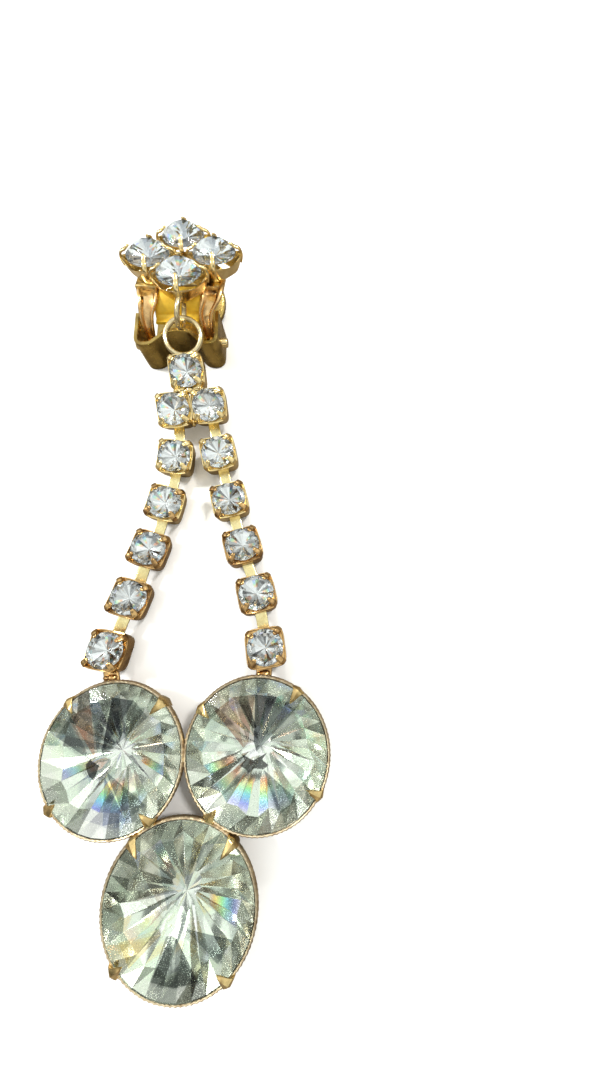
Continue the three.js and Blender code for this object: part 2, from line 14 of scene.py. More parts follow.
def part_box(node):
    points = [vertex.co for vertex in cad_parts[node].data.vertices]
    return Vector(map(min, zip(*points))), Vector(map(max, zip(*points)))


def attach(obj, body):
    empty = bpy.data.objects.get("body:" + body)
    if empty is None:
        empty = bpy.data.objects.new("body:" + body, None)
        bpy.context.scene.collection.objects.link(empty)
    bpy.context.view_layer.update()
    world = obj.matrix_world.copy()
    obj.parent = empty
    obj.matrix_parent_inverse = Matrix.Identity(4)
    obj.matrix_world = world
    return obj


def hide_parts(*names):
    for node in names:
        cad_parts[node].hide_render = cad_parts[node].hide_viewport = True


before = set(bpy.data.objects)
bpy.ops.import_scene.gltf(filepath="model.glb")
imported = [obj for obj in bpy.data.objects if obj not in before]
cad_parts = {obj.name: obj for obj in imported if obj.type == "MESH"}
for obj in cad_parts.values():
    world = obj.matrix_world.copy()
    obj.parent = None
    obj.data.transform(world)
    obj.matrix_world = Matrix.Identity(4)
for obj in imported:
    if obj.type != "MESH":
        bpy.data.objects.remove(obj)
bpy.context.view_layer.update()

# %% [markdown]
# ## Where the camera stands
# The picture is a close one taken with a wide lens, so the clip looks larger than
# its share and the cups lean outward. The camera is therefore only a few
# centimetres above the surface, beside the pendants, and nods a little towards
# the clip.

# %% Camera
CAMERA_AT = (0.01394, -0.010755, 0.043909)
CAMERA_RIGHT = (0.99523907, -0.09495638, -0.02196554)
CAMERA_UP = (0.09746384, 0.96963453, 0.22429821)
CAMERA_BACK = (0.0, -0.22537118, 0.97427297)
LENS = 12.356

camera_data = bpy.data.cameras.new("camera")
camera_data.lens = LENS
camera_data.sensor_width = 36.0
camera_data.clip_start = 0.002
camera_data.clip_end = 10.0
camera = bpy.data.objects.new("camera", camera_data)
turned = Matrix((CAMERA_RIGHT, CAMERA_UP, CAMERA_BACK)).transposed().to_4x4()
camera.matrix_world = Matrix.Translation(CAMERA_AT) @ turned
bpy.context.collection.objects.link(camera)
bpy.context.scene.camera = camera
print("camera", [round(v * 1000, 1) for v in camera.location], "mm")

# %% [markdown]
# ## Surfaces from rows of points
# Nearly every metal piece here is sheet or wire, so one idea serves them all: a
# grid of points whose rows follow the piece and whose columns run round it. Joined
# to their neighbours they make a skin, and a fan closes each end. Working on whole
# arrays keeps this quick, and the signed volume says whether the skin faces
# outwards.

# %% Skins
def round_turn(count):
    """Angles of count equal steps round a full turn."""
    return np.arange(count) * 2 * np.pi / count


def polar(radius, angle, height):
    """Points (radius cos angle, radius sin angle, height), all spread to one shape."""
    return np.stack(np.broadcast_arrays(
        radius * np.cos(angle), radius * np.sin(angle), height), axis=-1)


def skin(rows, closed=False):
    """Skin over a grid: point (i, j) joins (i, j+1), (i+1, j+1) and (i+1, j), and j wraps
    round. A closed grid also wraps along i; an open one gets a fan at each end."""
    rows = np.asarray(rows, float)
    count, around = rows.shape[:2]
    index = np.arange(count * around).reshape(count, around)
    beside = np.roll(index, -1, axis=1)
    if closed:
        ahead, ahead_beside = np.roll(index, -1, axis=0), np.roll(beside, -1, axis=0)
    else:
        index, ahead, beside, ahead_beside = index[:-1], index[1:], beside[:-1], beside[1:]
    quads = np.stack([index, beside, ahead_beside, ahead], axis=-1).reshape(-1, 4)
    points = rows.reshape(-1, 3)
    tris = np.empty((0, 3), int)
    if not closed:
        first = np.arange(around)
        last = first + (count - 1) * around
        points = np.vstack([points, rows[0].mean(axis=0), rows[-1].mean(axis=0)])
        low, high = len(points) - 2, len(points) - 1
        tris = np.vstack([
            np.stack([np.full(around, low), np.roll(first, -1), first], axis=-1),
            np.stack([np.full(around, high), last, np.roll(last, -1)], axis=-1),
        ])
    return faced_out(points, quads, tris)


def faced_out(points, quads, tris):
    """Turns all faces over if the signed volume, the sum of a . (b x c) / 6, is negative."""
    halves = np.vstack([tris, quads[:, [0, 1, 2]], quads[:, [0, 2, 3]]])
    a, b, c = points[halves[:, 0]], points[halves[:, 1]], points[halves[:, 2]]
    if np.einsum("ij,ij->", a, np.cross(b, c)) < 0:
        quads, tris = quads[:, ::-1], tris[:, ::-1]
    return points, quads, tris


def moved(part, matrix):
    """The same skin after a 4 x 4 placing matrix."""
    points, quads, tris = part
    return points @ matrix[:3, :3].T + matrix[:3, 3], quads, tris


def together(parts):
    """Several skins as one list of points and faces; they stay separate shells."""
    starts = np.cumsum([0] + [len(p[0]) for p in parts[:-1]])
    points = np.vstack([p[0] for p in parts])
    quads = np.vstack([p[1] + s for p, s in zip(parts, starts)])
    tris = np.vstack([p[2] + s for p, s in zip(parts, starts)])
    return points, quads, tris


# %% [markdown]
# ## Placing a piece
# The solids were placed in millimetres with a turn about the vertical, a nod along
# the earring and a lean to the side. The same three angles are used here, so a
# detailed cup lands exactly on the plain one it stands for.

# %% Places
def place(x=0.0, y=0.0, z=0.0, turn=0.0, tilt=0.0, roll=0.0):
    """Matrix of a move by (x, y, z) after a turn about Z, a tilt about X and a roll about Y."""
    a, b, c = np.radians([turn, tilt, roll])
    about_z = [[np.cos(a), -np.sin(a), 0], [np.sin(a), np.cos(a), 0], [0, 0, 1]]
    about_x = [[1, 0, 0], [0, np.cos(b), -np.sin(b)], [0, np.sin(b), np.cos(b)]]
    about_y = [[np.cos(c), 0, np.sin(c)], [0, 1, 0], [-np.sin(c), 0, np.cos(c)]]
    matrix = np.eye(4)
    matrix[:3, :3] = np.array(about_z) @ np.array(about_x) @ np.array(about_y)
    matrix[:3, 3] = (x, y, z)
    return matrix


def through(matrix, *points):
    """Points after a placing matrix."""
    return np.array(points, float) @ matrix[:3, :3].T + matrix[:3, 3]


RIM = 14.6
SPACING = RIM - 0.1
LARGE_SEAT = 3.6
PENDANT = place(-13.94, -11.27, 0, turn=-3.3)
LARGE = {
    "left": (-SPACING / 2, 0),
    "right": (SPACING / 2, 0),
    "bottom": (0, -SPACING * np.sqrt(0.75)),
}

low, high = (np.array(corner) * 1000 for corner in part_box("rivoli_bottom"))
shown = through(PENDANT, (*LARGE["bottom"], LARGE_SEAT))[0]
SHIFT = np.append((low + high)[:2] / 2 - shown[:2], 0)
ORIGIN = place(*SHIFT)
PENDANT = ORIGIN @ PENDANT
JUNCTION = ORIGIN @ place(-12.12, 31.75, 3.25, turn=1, tilt=18.5)
CLIP = ORIGIN @ place(-13.5, 37.75, 0, turn=-5)
TOP = CLIP @ place(1.4, 7.6, 8.1, turn=4, tilt=-12.7, roll=3)
print("frame shift in mm:", np.round(SHIFT, 3).tolist())

# %% [markdown]
# ## Making an object of a skin
# Sheet metal is smooth along a bend and sharp at a cut, so faces are shaded smooth
# and edges past a chosen angle are marked sharp. Stones keep every face flat.

# %% Objects
SHARP = np.radians(38.0)


def solid(node, groups, body="earring"):
    """The object look_NODE from (material, skins) pairs in millimetres. It stands for the CAD
    node; triangles come first in its mesh, then quads, each with its group's number."""
    skins = [part for _, parts in groups for part in parts]
    group = np.repeat(np.arange(len(groups)), [len(parts) for _, parts in groups])
    index = np.concatenate([np.repeat(group, [len(part[k]) for part in skins]) for k in (2, 1)])
    points, quads, tris = together(skins)
    mesh = bpy.data.meshes.new("look_" + node)
    mesh.from_pydata((points / 1000).tolist(), [], tris.tolist() + quads.tolist())
    for material, _ in groups:
        mesh.materials.append(material)
    mesh.polygons.foreach_set("material_index", index.astype(np.int32))
    mesh.polygons.foreach_set("use_smooth", np.ones(len(mesh.polygons), bool))
    mesh.set_sharp_from_angle(angle=SHARP)
    thing = bpy.data.objects.new("look_" + node, mesh)
    bpy.context.collection.objects.link(thing)
    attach(thing, body)
    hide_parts(node)


def report(names):
    """Prints how far each new piece reaches past its CAD node, in millimetres."""
    for name in names:
        thing = bpy.data.objects["look_" + name]
        corners = np.array([v.co for v in thing.data.vertices])
        low, high = (np.array(corner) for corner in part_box(name))
        past = np.maximum(low - corners.min(axis=0), corners.max(axis=0) - high) * 1000
        print(f"  {name}: {len(thing.data.polygons)} faces, past its node by {past.max():.2f} mm")


# %% [markdown]
# ## Effects that several finishes share
# Fine dust, tarnish and small scratches are the same on every metal piece. Each is
# a node group with named inputs, built once: a patchy mask for tarnish that gathers
# in soft areas, and a fine grain for the surface itself.

# %% Node groups
def sockets(group, inputs, outputs):
    """Adds named inputs with their defaults, and outputs, to a node group."""
    for name, kind, value in inputs:
        group.interface.new_socket(name, in_out="INPUT", socket_type=kind).default_value = value
    for name, kind in outputs:
        group.interface.new_socket(name, in_out="OUTPUT", socket_type=kind)
    return group.nodes.new("NodeGroupInput"), group.nodes.new("NodeGroupOutput")


def node(tree, kind, links=(), **settings):
    """A node with its settings; numbered or named inputs are given as links from other
    sockets or as plain values."""
    made = tree.nodes.new(kind)
    for key, value in settings.items():
        setattr(made, key, value)
    for key, value in dict(links).items():
        if isinstance(value, bpy.types.NodeSocket):
            tree.links.new(value, made.inputs[key])
        else:
            made.inputs[key].default_value = value
    return made


def ramp(tree, factor, stops):
    """Colour ramp with (place, colour) stops; a number stands for a grey."""
    made = tree.nodes.new("ShaderNodeValToRGB")
    tree.links.new(factor, made.inputs[0])
    band = made.color_ramp
    while len(band.elements) < len(stops):
        band.elements.new(0.5)
    for element, (at, colour) in zip(band.elements, stops):
        element.position = at
        element.color = (colour,) * 3 + (1,) if isinstance(colour, float) else (*colour, 1)
    return made.outputs["Color"]


def noise(tree, where, scale, detail=2.0):
    """Value of a noise texture; its scale may be a number or a link."""
    return node(tree, "ShaderNodeTexNoise", {
        "Vector": where, "Scale": scale, "Detail": detail,
    }).outputs["Fac"]


def calc(tree, operation, *values):
    """Result of one sum on numbers or links."""
    return node(tree, "ShaderNodeMath", dict(enumerate(values)), operation=operation).outputs[0]


def mixed(tree, factor, below, above, blend="MIX"):
    """Colour that goes from the one below to the one above as the factor rises."""
    return node(tree, "ShaderNodeMix", {
        "Factor": factor, 6: below, 7: above,
    }, data_type="RGBA", blend_type=blend).outputs[2]


def worn_metal_group():
    """Patches of tarnish, a finer mottling and the height of small dents and scratches."""
    group = bpy.data.node_groups.new("worn_metal", "ShaderNodeTree")
    start, end = sockets(group, [
        ("Scale", "NodeSocketFloat", 900.0), ("Tarnish", "NodeSocketFloat", 0.5),
    ], [
        ("Patches", "NodeSocketFloat"), ("Mottle", "NodeSocketFloat"),
        ("Height", "NodeSocketFloat"),
    ])
    where = node(group, "ShaderNodeTexCoord").outputs["Object"]
    patches = ramp(group, noise(group, where, start.outputs["Scale"], 4.0),
                   [(0.42, 0.0), (0.66, 1.0)])
    fine_scale = calc(group, "MULTIPLY", start.outputs["Scale"], 5.0)
    fine = noise(group, where, fine_scale, 3.0)
    stretched = node(group, "ShaderNodeMapping", {"Vector": where, "Scale": (1.0, 6.0, 1.0)})
    marks = noise(group, stretched.outputs[0], fine_scale)
    weight = calc(group, "MULTIPLY", patches, start.outputs["Tarnish"])
    group.links.new(weight, end.inputs["Patches"])
    group.links.new(fine, end.inputs["Mottle"])
    group.links.new(calc(group, "ADD", fine, marks), end.inputs["Height"])
    return group


WORN_METAL = worn_metal_group()
print("node group", WORN_METAL.name, "with", len(WORN_METAL.nodes), "nodes")

# %% [markdown]
# ## Gold-coloured metal
# The plating is bright yellow where it is flat and turns orange where gold mirrors
# gold. It has dulled to brown in patches. A metal takes its colour from Base Color,
# so two golds are mixed by the tarnish mask, and the same mask roughens the shine.

# %% Metals
def finish(name):
    """A new material, its node tree and its Principled shader."""
    material = bpy.data.materials.new(name)
    material.use_nodes = True
    return material, material.node_tree, material.node_tree.nodes["Principled BSDF"]


def metal(name, bright, dull, rough, tarnish, bump=0.12, scale=900.0, metallic=1.0):
    """Plated metal: bright and dull colours mixed by tarnish, with a varied roughness."""
    material, tree, shader = finish(name)
    worn = node(tree, "ShaderNodeGroup", {
        "Scale": scale, "Tarnish": tarnish,
    }, node_tree=WORN_METAL).outputs
    plating = mixed(tree, worn["Patches"], (*bright, 1), (*dull, 1))
    mottle = ramp(tree, worn["Mottle"], [(0.3, 0.55), (0.7, 1.0)])
    shine = node(tree, "ShaderNodeMapRange", {
        "Value": worn["Patches"], "To Min": rough, "To Max": rough + 0.22,
    })
    bumped = node(tree, "ShaderNodeBump", {
        "Height": worn["Height"], "Strength": bump, "Distance": 0.00003,
    })
    tree.links.new(mixed(tree, 0.25, plating, mottle, "MULTIPLY"), shader.inputs["Base Color"])
    tree.links.new(shine.outputs[0], shader.inputs["Roughness"])
    tree.links.new(bumped.outputs[0], shader.inputs["Normal"])
    shader.inputs["Metallic"].default_value = metallic
    return material


GILT = metal("gilt_metal", (0.95, 0.76, 0.38), (0.55, 0.36, 0.13), 0.16, 0.5)
LINKS = metal("link_metal", (0.93, 0.82, 0.44), (0.55, 0.42, 0.16), 0.2, 0.6, bump=0.3)
# Darker copy of the gilt, with the same tarnish patches: painted shade on the lower cups, their
# claws and the pendant's cups, tabs and solder.
SHADED_GILT = metal("aged_gilt_metal", (0.70, 0.45, 0.19), (0.22, 0.12, 0.05), 0.16, 0.9)
LEGS = metal("leg_metal", (0.95, 0.64, 0.30), (0.50, 0.28, 0.10), 0.18, 0.6)
CLAWS_OLD = metal("worn_claw_metal", (0.82, 0.62, 0.28), (0.32, 0.21, 0.08), 0.2, 0.8)
RIMS = metal("worn_rim_metal", (0.74, 0.62, 0.42), (0.30, 0.21, 0.12), 0.34, 0.85,
             bump=0.4, scale=1500.0)
# Painted light: the tongue is a full saturated yellow with little metal, so it looks lit by light
# bounced from the gold around it.
TONGUE_PAINTED_LIGHT = metal("tongue_painted_light_metal", (1.0, 0.66, 0.05), (0.95, 0.48, 0.02), 0.38, 0.5,
               scale=500.0, metallic=0.2)
WIRES = metal("wire_metal", (0.78, 0.66, 0.40), (0.34, 0.27, 0.14), 0.2, 0.8)
BRASS = metal("lever_metal", (0.52, 0.38, 0.12), (0.16, 0.10, 0.03), 0.22, 0.75, scale=600.0)
METALS = (GILT, LINKS, SHADED_GILT, LEGS, CLAWS_OLD, RIMS, TONGUE_PAINTED_LIGHT, WIRES, BRASS)
print("metals:", [each.name for each in METALS])

# %% [markdown]
# ## Foiled glass
# A paste stone is clear glass with a mirror of metal foil behind it. Light bends in
# through the front, bounces from facet to facet on the foil and leaves somewhere
# else, which is what makes it sparkle. So each stone is one closed body with two
# finishes: glass on the crown and girdle, and polished foil on the back facets,
# seen from inside. Each facet also has a painted tone, which carries painted reflections.
# Fire, the small rainbows, is painted too: a hue that runs outwards across a few chosen facets.

# %% Glass and foil
def fire_group():
    """The hue of painted fire runs outwards with the distance from a stone's axis, moved by each
    facet's own number, and its window keeps it between the tip and the girdle."""
    group = bpy.data.node_groups.new("fire", "ShaderNodeTree")
    start, end = sockets(group, [("Spread", "NodeSocketFloat", 0.09)], [
        ("Color", "NodeSocketColor"), ("Window", "NodeSocketFloat"),
    ])
    unit = node(group, "ShaderNodeAttribute", attribute_name="in_stone").outputs["Vector"]
    apart = node(group, "ShaderNodeSeparateXYZ", {0: unit}).outputs
    flat = node(group, "ShaderNodeCombineXYZ", {"X": apart["X"], "Y": apart["Y"]}).outputs[0]
    radius = node(group, "ShaderNodeVectorMath", {0: flat}, operation="LENGTH").outputs["Value"]
    moved_out = calc(group, "MULTIPLY_ADD", apart["Z"], start.outputs["Spread"], radius)
    hue = ramp(group, moved_out, [
        (0.40, (1.0, 0.36, 0.14)), (0.50, (1.0, 0.82, 0.25)), (0.58, (0.40, 0.92, 0.40)),
        (0.66, (0.25, 0.75, 0.95)), (0.76, (0.35, 0.4, 1.0)), (0.88, (0.85, 0.75, 1.0)),
    ])
    window = ramp(group, radius, [(0.32, 0.0), (0.40, 1.0), (0.74, 1.0), (0.84, 0.0)])
    group.links.new(hue, end.inputs["Color"])
    group.links.new(window, end.inputs["Window"])
    return group


FIRE = fire_group()


def foil(name, rough):
    """Foil behind the glass: each facet has its own tone, which carries painted reflections, and
    its alpha says how much painted fire it shows."""
    material, tree, shader = finish(name)
    fire = node(tree, "ShaderNodeGroup", node_tree=FIRE).outputs
    tone = node(tree, "ShaderNodeAttribute", attribute_name="tone").outputs
    amount = calc(tree, "MULTIPLY", fire["Window"], tone["Alpha"])
    colour = mixed(tree, amount, tone["Color"], fire["Color"])
    tree.links.new(colour, shader.inputs["Base Color"])
    shader.inputs["Metallic"].default_value = 1.0
    shader.inputs["Roughness"].default_value = rough
    return material


def glass(name, bump, bend, dust):
    """Clear crown glass, tinted facet by facet, partly with painted reflections, with fine
    scratches in its bump and specks of dust that make it locally rough; bend is its index of
    refraction."""
    material, tree, shader = finish(name)
    where = node(tree, "ShaderNodeTexCoord").outputs["Object"]
    bumped = node(tree, "ShaderNodeBump", {
        "Height": noise(tree, where, 5200.0, 3.0), "Strength": bump, "Distance": 0.00001,
    })
    shine = node(tree, "ShaderNodeMapRange", {
        "Value": noise(tree, where, 7500.0), "From Min": 0.52, "From Max": 0.68,
        "To Min": 0.0, "To Max": dust,
    })
    tone = node(tree, "ShaderNodeAttribute", attribute_name="tone")
    tree.links.new(tone.outputs["Color"], shader.inputs["Base Color"])
    tree.links.new(bumped.outputs[0], shader.inputs["Normal"])
    tree.links.new(shine.outputs[0], shader.inputs["Roughness"])
    shader.inputs["Transmission Weight"].default_value = 1.0
    shader.inputs["IOR"].default_value = bend
    return material


SMALL_GLASS = glass("small_glass", 0.15, 1.22, 0.2)
LARGE_GLASS = glass("large_glass", 0.22, 1.2, 0.4)
SMALL_FOIL = foil("small_foil", 0.12)
LARGE_FOIL = foil("large_foil", 0.13)
print("stone finishes:", SMALL_GLASS.name, LARGE_GLASS.name, SMALL_FOIL.name, LARGE_FOIL.name)

# %% [markdown]
# ## Cut stones
# A facet is a flat polygon, so a stone is written as rings of corner points and the
# polygons between them. The corners of each back ring get a tiny seeded offset, as
# in hand-polished glass, so that no two facets mirror quite the same thing.

# %% Facets
def ring(count, radius, height, start=0.0):
    """Points on a circle: count equal steps from the angle start, in steps."""
    return polar(radius, (np.arange(count) + start) * 2 * np.pi / count, height)


def joined(outer, inner, step=1, shift=0):
    """Triangles between two rings with equal counts (step 1), or with twice as many points
    in the outer one (step 2), where shift is the outer point under the first inner one."""
    many, few = len(outer), len(inner)
    k = np.arange(few)
    if step == 1:
        up = np.stack([outer, np.roll(outer, -1), np.roll(inner, -1)], axis=-1)
        down = np.stack([outer, np.roll(inner, -1), inner], axis=-1)
        return np.vstack([up, down])
    before, under, after = (outer[(2 * k + shift + d) % many] for d in (-1, 0, 1))
    beside = np.stack([under, after, inner], axis=-1)
    other = np.stack([before, under, inner], axis=-1)
    between = np.stack([after, np.roll(inner, -1), inner], axis=-1)
    return np.vstack([beside, other, between])


def stepped(outer, inner):
    """Triangles between two rings with different counts: the side of each is fanned to the nearest
    point of the other by its share of the turn."""
    many, few = len(outer), len(inner)
    i, j = np.arange(many), np.arange(few)
    near_inner = np.floor((i + 0.5) * few / many + 0.5).astype(int) % few
    near_outer = np.ceil((j + 0.5) * many / few - 0.5).astype(int) % many
    low = np.stack([outer, np.roll(outer, -1), inner[near_inner]], axis=-1)
    high = np.stack([outer[near_outer], np.roll(inner, -1), inner], axis=-1)
    return np.vstack([low, high])


def stone_object(node, rings, faces, split, finishes, tones, radius, matrix):
    """A stone from its rings and triangles; triangles from split onwards are the foiled back.
    Each facet has one tone, which carries painted reflections and painted fire, and in_stone holds
    (x, y) / radius and the facet's seeded number."""
    name = "look_" + node
    points = np.vstack(rings)
    tris = np.vstack(faces)
    behind = np.arange(len(tris)) >= split
    mesh = bpy.data.meshes.new(name)
    mesh.from_pydata((through(matrix, *points) / 1000).tolist(), [], tris.tolist())
    for each in finishes:
        mesh.materials.append(each)
    mesh.polygons.foreach_set("material_index", behind.astype(np.int32))
    where = points[tris] / radius
    where[:, :, 2] = np.random.default_rng(len(name)).uniform(-1, 1, (len(tris), 1))
    inside = mesh.attributes.new("in_stone", "FLOAT_VECTOR", "CORNER")
    inside.data.foreach_set("vector", where.astype(np.float32).ravel())
    colours = tones(points[tris].mean(axis=1) / radius, behind)
    corners = mesh.attributes.new("tone", "FLOAT_COLOR", "CORNER")
    corners.data.foreach_set("color", np.repeat(colours.astype(np.float32), 3, axis=0).ravel())
    thing = bpy.data.objects.new(name, mesh)
    bpy.context.collection.objects.link(thing)
    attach(thing, "earring")
    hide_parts(node)


def toned(middles, base, marks, rng, spread):
    """Facet tones: base times 1 + a seeded share up to spread, drawn towards each mark's colour, a
    painted reflection, by exp(-(angle from the mark / its width)^4); the last column is the mark's
    painted fire."""
    angle = np.degrees(np.arctan2(middles[:, 1], middles[:, 0]))
    tones = np.zeros((len(middles), 4))
    tones[:, :3] = np.array(base) * (1 + rng.uniform(-1, 1, (len(middles), 1)) * spread)
    for at, width, colour, fire in marks:
        weight = np.exp(-(((angle - at + 180) % 360 - 180) / width) ** 4)
        if colour:
            tones[:, :3] += (np.array(colour) - tones[:, :3]) * weight[:, None]
        tones[:, 3] = np.maximum(tones[:, 3], fire * weight)
    return tones


def numbered(rings):
    """Index arrays of the points of each ring, in order."""
    ends = np.cumsum([0] + [len(part) for part in rings])
    return [np.arange(a, b) for a, b in zip(ends[:-1], ends[1:])]


def fan(ring_index, middle):
    """Triangles from each side of a ring to one middle point."""
    return np.stack([
        ring_index, np.roll(ring_index, -1), np.full(len(ring_index), middle),
    ], axis=-1)


def brilliant(node, diameter, matrix, seed, marks=(), calm=1.0, back=0.21):
    """Round cut stone: eight-sided table, star and kite facets, girdle, and twenty-four back
    facets that meet in a point under a row of short ones. Heights are shares of the diameter."""
    rng = np.random.default_rng(seed)
    r, d = diameter / 2, diameter
    table, crown, girdle = 0.55, 0.165, 0.05
    top = girdle * d + crown * d
    middle = girdle * d + crown * d * 0.52
    waist = ring(24, r * 0.72, -back * d * 0.28)
    waist[:, 2] += rng.uniform(-0.055, 0.055, 24) * r
    rings = [
        ring(1, 0, top), ring(8, r * table, top), ring(8, r * 0.79, middle, 0.5),
        ring(16, r, girdle * d), ring(16, r * 0.995, girdle * d * 0.5), ring(24, r, 0.0),
        waist, ring(1, 0, -back * d),
    ]
    tip, table_ring, star, belt, mid, under, low, point = numbered(rings)
    stars = np.stack([table_ring, star, np.roll(table_ring, -1)], axis=-1)
    kites = np.stack([np.roll(star, 1), star, table_ring], axis=-1)
    crown_faces = [
        fan(table_ring, tip[0]), stars, kites, joined(belt, star, 2, 1), joined(mid, belt),
        stepped(under, mid),
    ]
    back_faces = [joined(under, low)[:, ::-1], fan(low, point[0])[:, ::-1]]
    split = sum(len(f) for f in crown_faces)

    def tones(middles, behind):
        """Painted reflections: light and dark facets drawn at random, with painted fire on one in
        six;
        the crown's differ less."""
        count = len(middles)
        # Painted reflections: the foil's facets are shaded from white to dark at random.
        drawn = rng.choice([1.0, 0.92, 0.78, 0.55, 0.3], count, p=[0.42, 0.26, 0.17, 0.1, 0.05])
        shades = np.where(behind, drawn, rng.uniform(0.93, 1.0, count))
        made = toned(middles, (0.96, 0.98, 0.98), marks, rng, 0.03)
        made[:, :3] = np.clip(made[:, :3] * shades[:, None] ** calm, 0, 1)
        made[:, 3] = 0.55 * (behind & (rng.uniform(0, 1, count) < 0.16))
        return made

    stone_object(node, rings, crown_faces + back_faces, split,
                 (SMALL_GLASS, SMALL_FOIL), tones, r, matrix)


def rivoli(node, matrix, seed, marks, tip_light, diameter, crown, back, girdle, wedges=16):
    """Pointed stone: long wedges from the worn tip, a short second row, a thin girdle, and a
    back with twice as many wedges whose edges waver. Its facet tones carry painted reflections and
    painted fire, and the tip's front facets get painted shade where the cosine of their angle from
    the lit side, the pair's first value, is under its second."""
    rng = np.random.default_rng(seed)
    r = diameter / 2
    many = 2 * wedges

    def worn(count, share, waver):
        """Ring whose points waver in and out."""
        points = ring(count, r * share, 0)
        points[:, :2] *= 1 + rng.uniform(-waver, waver, (count, 1))
        return points, np.hypot(points[:, 0], points[:, 1]) / r

    short, out = worn(wedges, 0.8, 0.04)
    short[:, 2] = girdle + crown * (1 - out) * 1.2
    tip_ring, out = worn(wedges, 0.16, 0.35)
    tip_ring[:, 2] = girdle + crown - crown * 0.95 * out
    deep, _ = worn(many, 0.76, 0.09)
    deep[:, 2] = -back * 0.3 + rng.uniform(-0.03, 0.03, many) * r
    near, _ = worn(many, 0.19, 0.45)
    near[:, 2] = -back * 0.9 + rng.uniform(-0.03, 0.03, many)
    rings = [
        ring(1, 0, girdle + crown), tip_ring, short, ring(many, r, girdle), ring(many, r, 0),
        deep, near, ring(1, 0, -back * 0.92),
    ]
    tip, worn_tip, front, belt, under, low, inner, point = numbered(rings)
    crown_faces = [
        fan(worn_tip, tip[0]), joined(front, worn_tip), joined(belt, front, 2, 0),
        joined(under, belt),
    ]
    back_faces = [part[:, ::-1] for part in (
        joined(under, low), joined(low, inner), fan(inner, point[0]))]
    split = sum(len(f) for f in crown_faces)

    def tones(middles, behind):
        """Pale grey-green back with painted fire, front wedges that carry this stone's painted
        reflections (squared, because glass tints by the root of its colour), a speckled row and a
        white worn tip, with painted shade on one side where a lit side is given."""
        angle = np.arctan2(middles[:, 1], middles[:, 0])
        out = np.linalg.norm(middles[:, :2], axis=1)
        fires = [(at, width, None, fire) for at, width, _, fire in marks]
        made = toned(middles, (0.89, 0.95, 0.87), fires, rng, 0.18)
        made[:, 3] *= (out > 0.2) & (out < 0.76) & behind
        edge = behind & (out > 0.78)
        speckles = rng.choice([0.5, 0.8, 1.0, 1.2], (edge.sum(), 1))
        made[edge, :3] = np.array([0.82, 0.86, 0.76]) * speckles
        # Front wedges: the painted reflections of this stone.
        front = toned(middles, (0.95, 0.97, 0.94), [m for m in marks if m[2]], rng, 0.06)
        soft = np.where(out > 0.75, 0.4, 1.0)[:, None]
        front[:, :3] = (0.97 + (np.clip(front[:, :3], 0, 1) - 0.97) * soft) ** 2
        made[~behind, :3] = front[~behind, :3]
        middle = out < 0.14
        made[middle, :3] = 1.0
        # Painted shade: the tip's front facets away from the lit side are nearly black.
        if tip_light is not None:
            away = np.cos(angle - np.radians(tip_light[0])) < tip_light[1]
            made[middle & ~behind & away, :3] = 0.03
        return np.clip(made, 0, 1)

    stone_object(node, rings, crown_faces + back_faces, split,
                 (LARGE_GLASS, LARGE_FOIL), tones, r, matrix)


# %% [markdown]
# ## Small square cups
# Each cup is stamped from sheet: a rounded square wall that rises from a soft bottom
# edge to a thin lip, lower in the middle of each side, with a claw folded over the
# stone at each corner. The square is a superellipse, |x|^5 + |y|^5 = 1, whose corners
# are round without needing arcs and straights to be pieced together.

# %% Cups and claws
CUP = {"width": 4.3, "base": 3.95, "height": 2.35, "dip": 0.2, "stone": 3.86}
CUP_SEAT = CUP["height"] + 0.12
AROUND = 96
POWER = 5.0


def square(half, height, dip=0.0):
    """Rounded square: radius = half / (|cos|^p + |sin|^p)^(1/p), lowered by dip at each side's
    middle as the square of cos(2 angle)."""
    angle = round_turn(AROUND)
    size = (np.abs(np.cos(angle)) ** POWER + np.abs(np.sin(angle)) ** POWER) ** (-1 / POWER)
    return polar(half * size, angle, height - dip * np.cos(2 * angle) ** 2)


def cup_wall(width, base, height, dip, floor):
    """Wall profile from the bottom edge up the outside, over the lip and down the inside."""
    wall, grow = 0.2, (width - base) / 2
    rise = np.array([0.0, 0.03, 0.12, 0.3, 0.6, 0.85, 0.95, 1.0])
    inset = np.array([0.30, 0.12, 0.03, 0.0, 0.0, 0.0, 0.01, 0.05])
    fall = np.array([1.0, 0.96, 0.8, 0.4, 0.12] if floor else [1.0, 0.96, 0.7, 0.35, 0.0])
    outer = [
        square(base / 2 + grow * t - cut, height * t, dip * t ** 3) for t, cut in zip(rise, inset)
    ]
    inner = [
        square(base / 2 + grow * t - wall + 0.04 * (t > 0.97), height * t, dip * t ** 3)
        for t in fall
    ]
    return skin(np.array(outer + inner), closed=not floor)


def smooth(points, count):
    """Points along a smooth curve: a cubic between neighbours whose slope at each is half
    the step from the point before to the point after."""
    points = np.asarray(points, float)
    slope = np.gradient(points, axis=0)
    at = np.linspace(0, len(points) - 1, count)
    i = np.minimum(at.astype(int), len(points) - 2)
    t = (at - i).reshape(-1, *[1] * (points.ndim - 1))
    a, b, c, d = points[i], points[i + 1], slope[i], slope[i + 1]
    return (a * (2 * t ** 3 - 3 * t ** 2 + 1) + c * (t ** 3 - 2 * t ** 2 + t)
            + b * (3 * t ** 2 - 2 * t ** 3) + d * (t ** 3 - t ** 2))


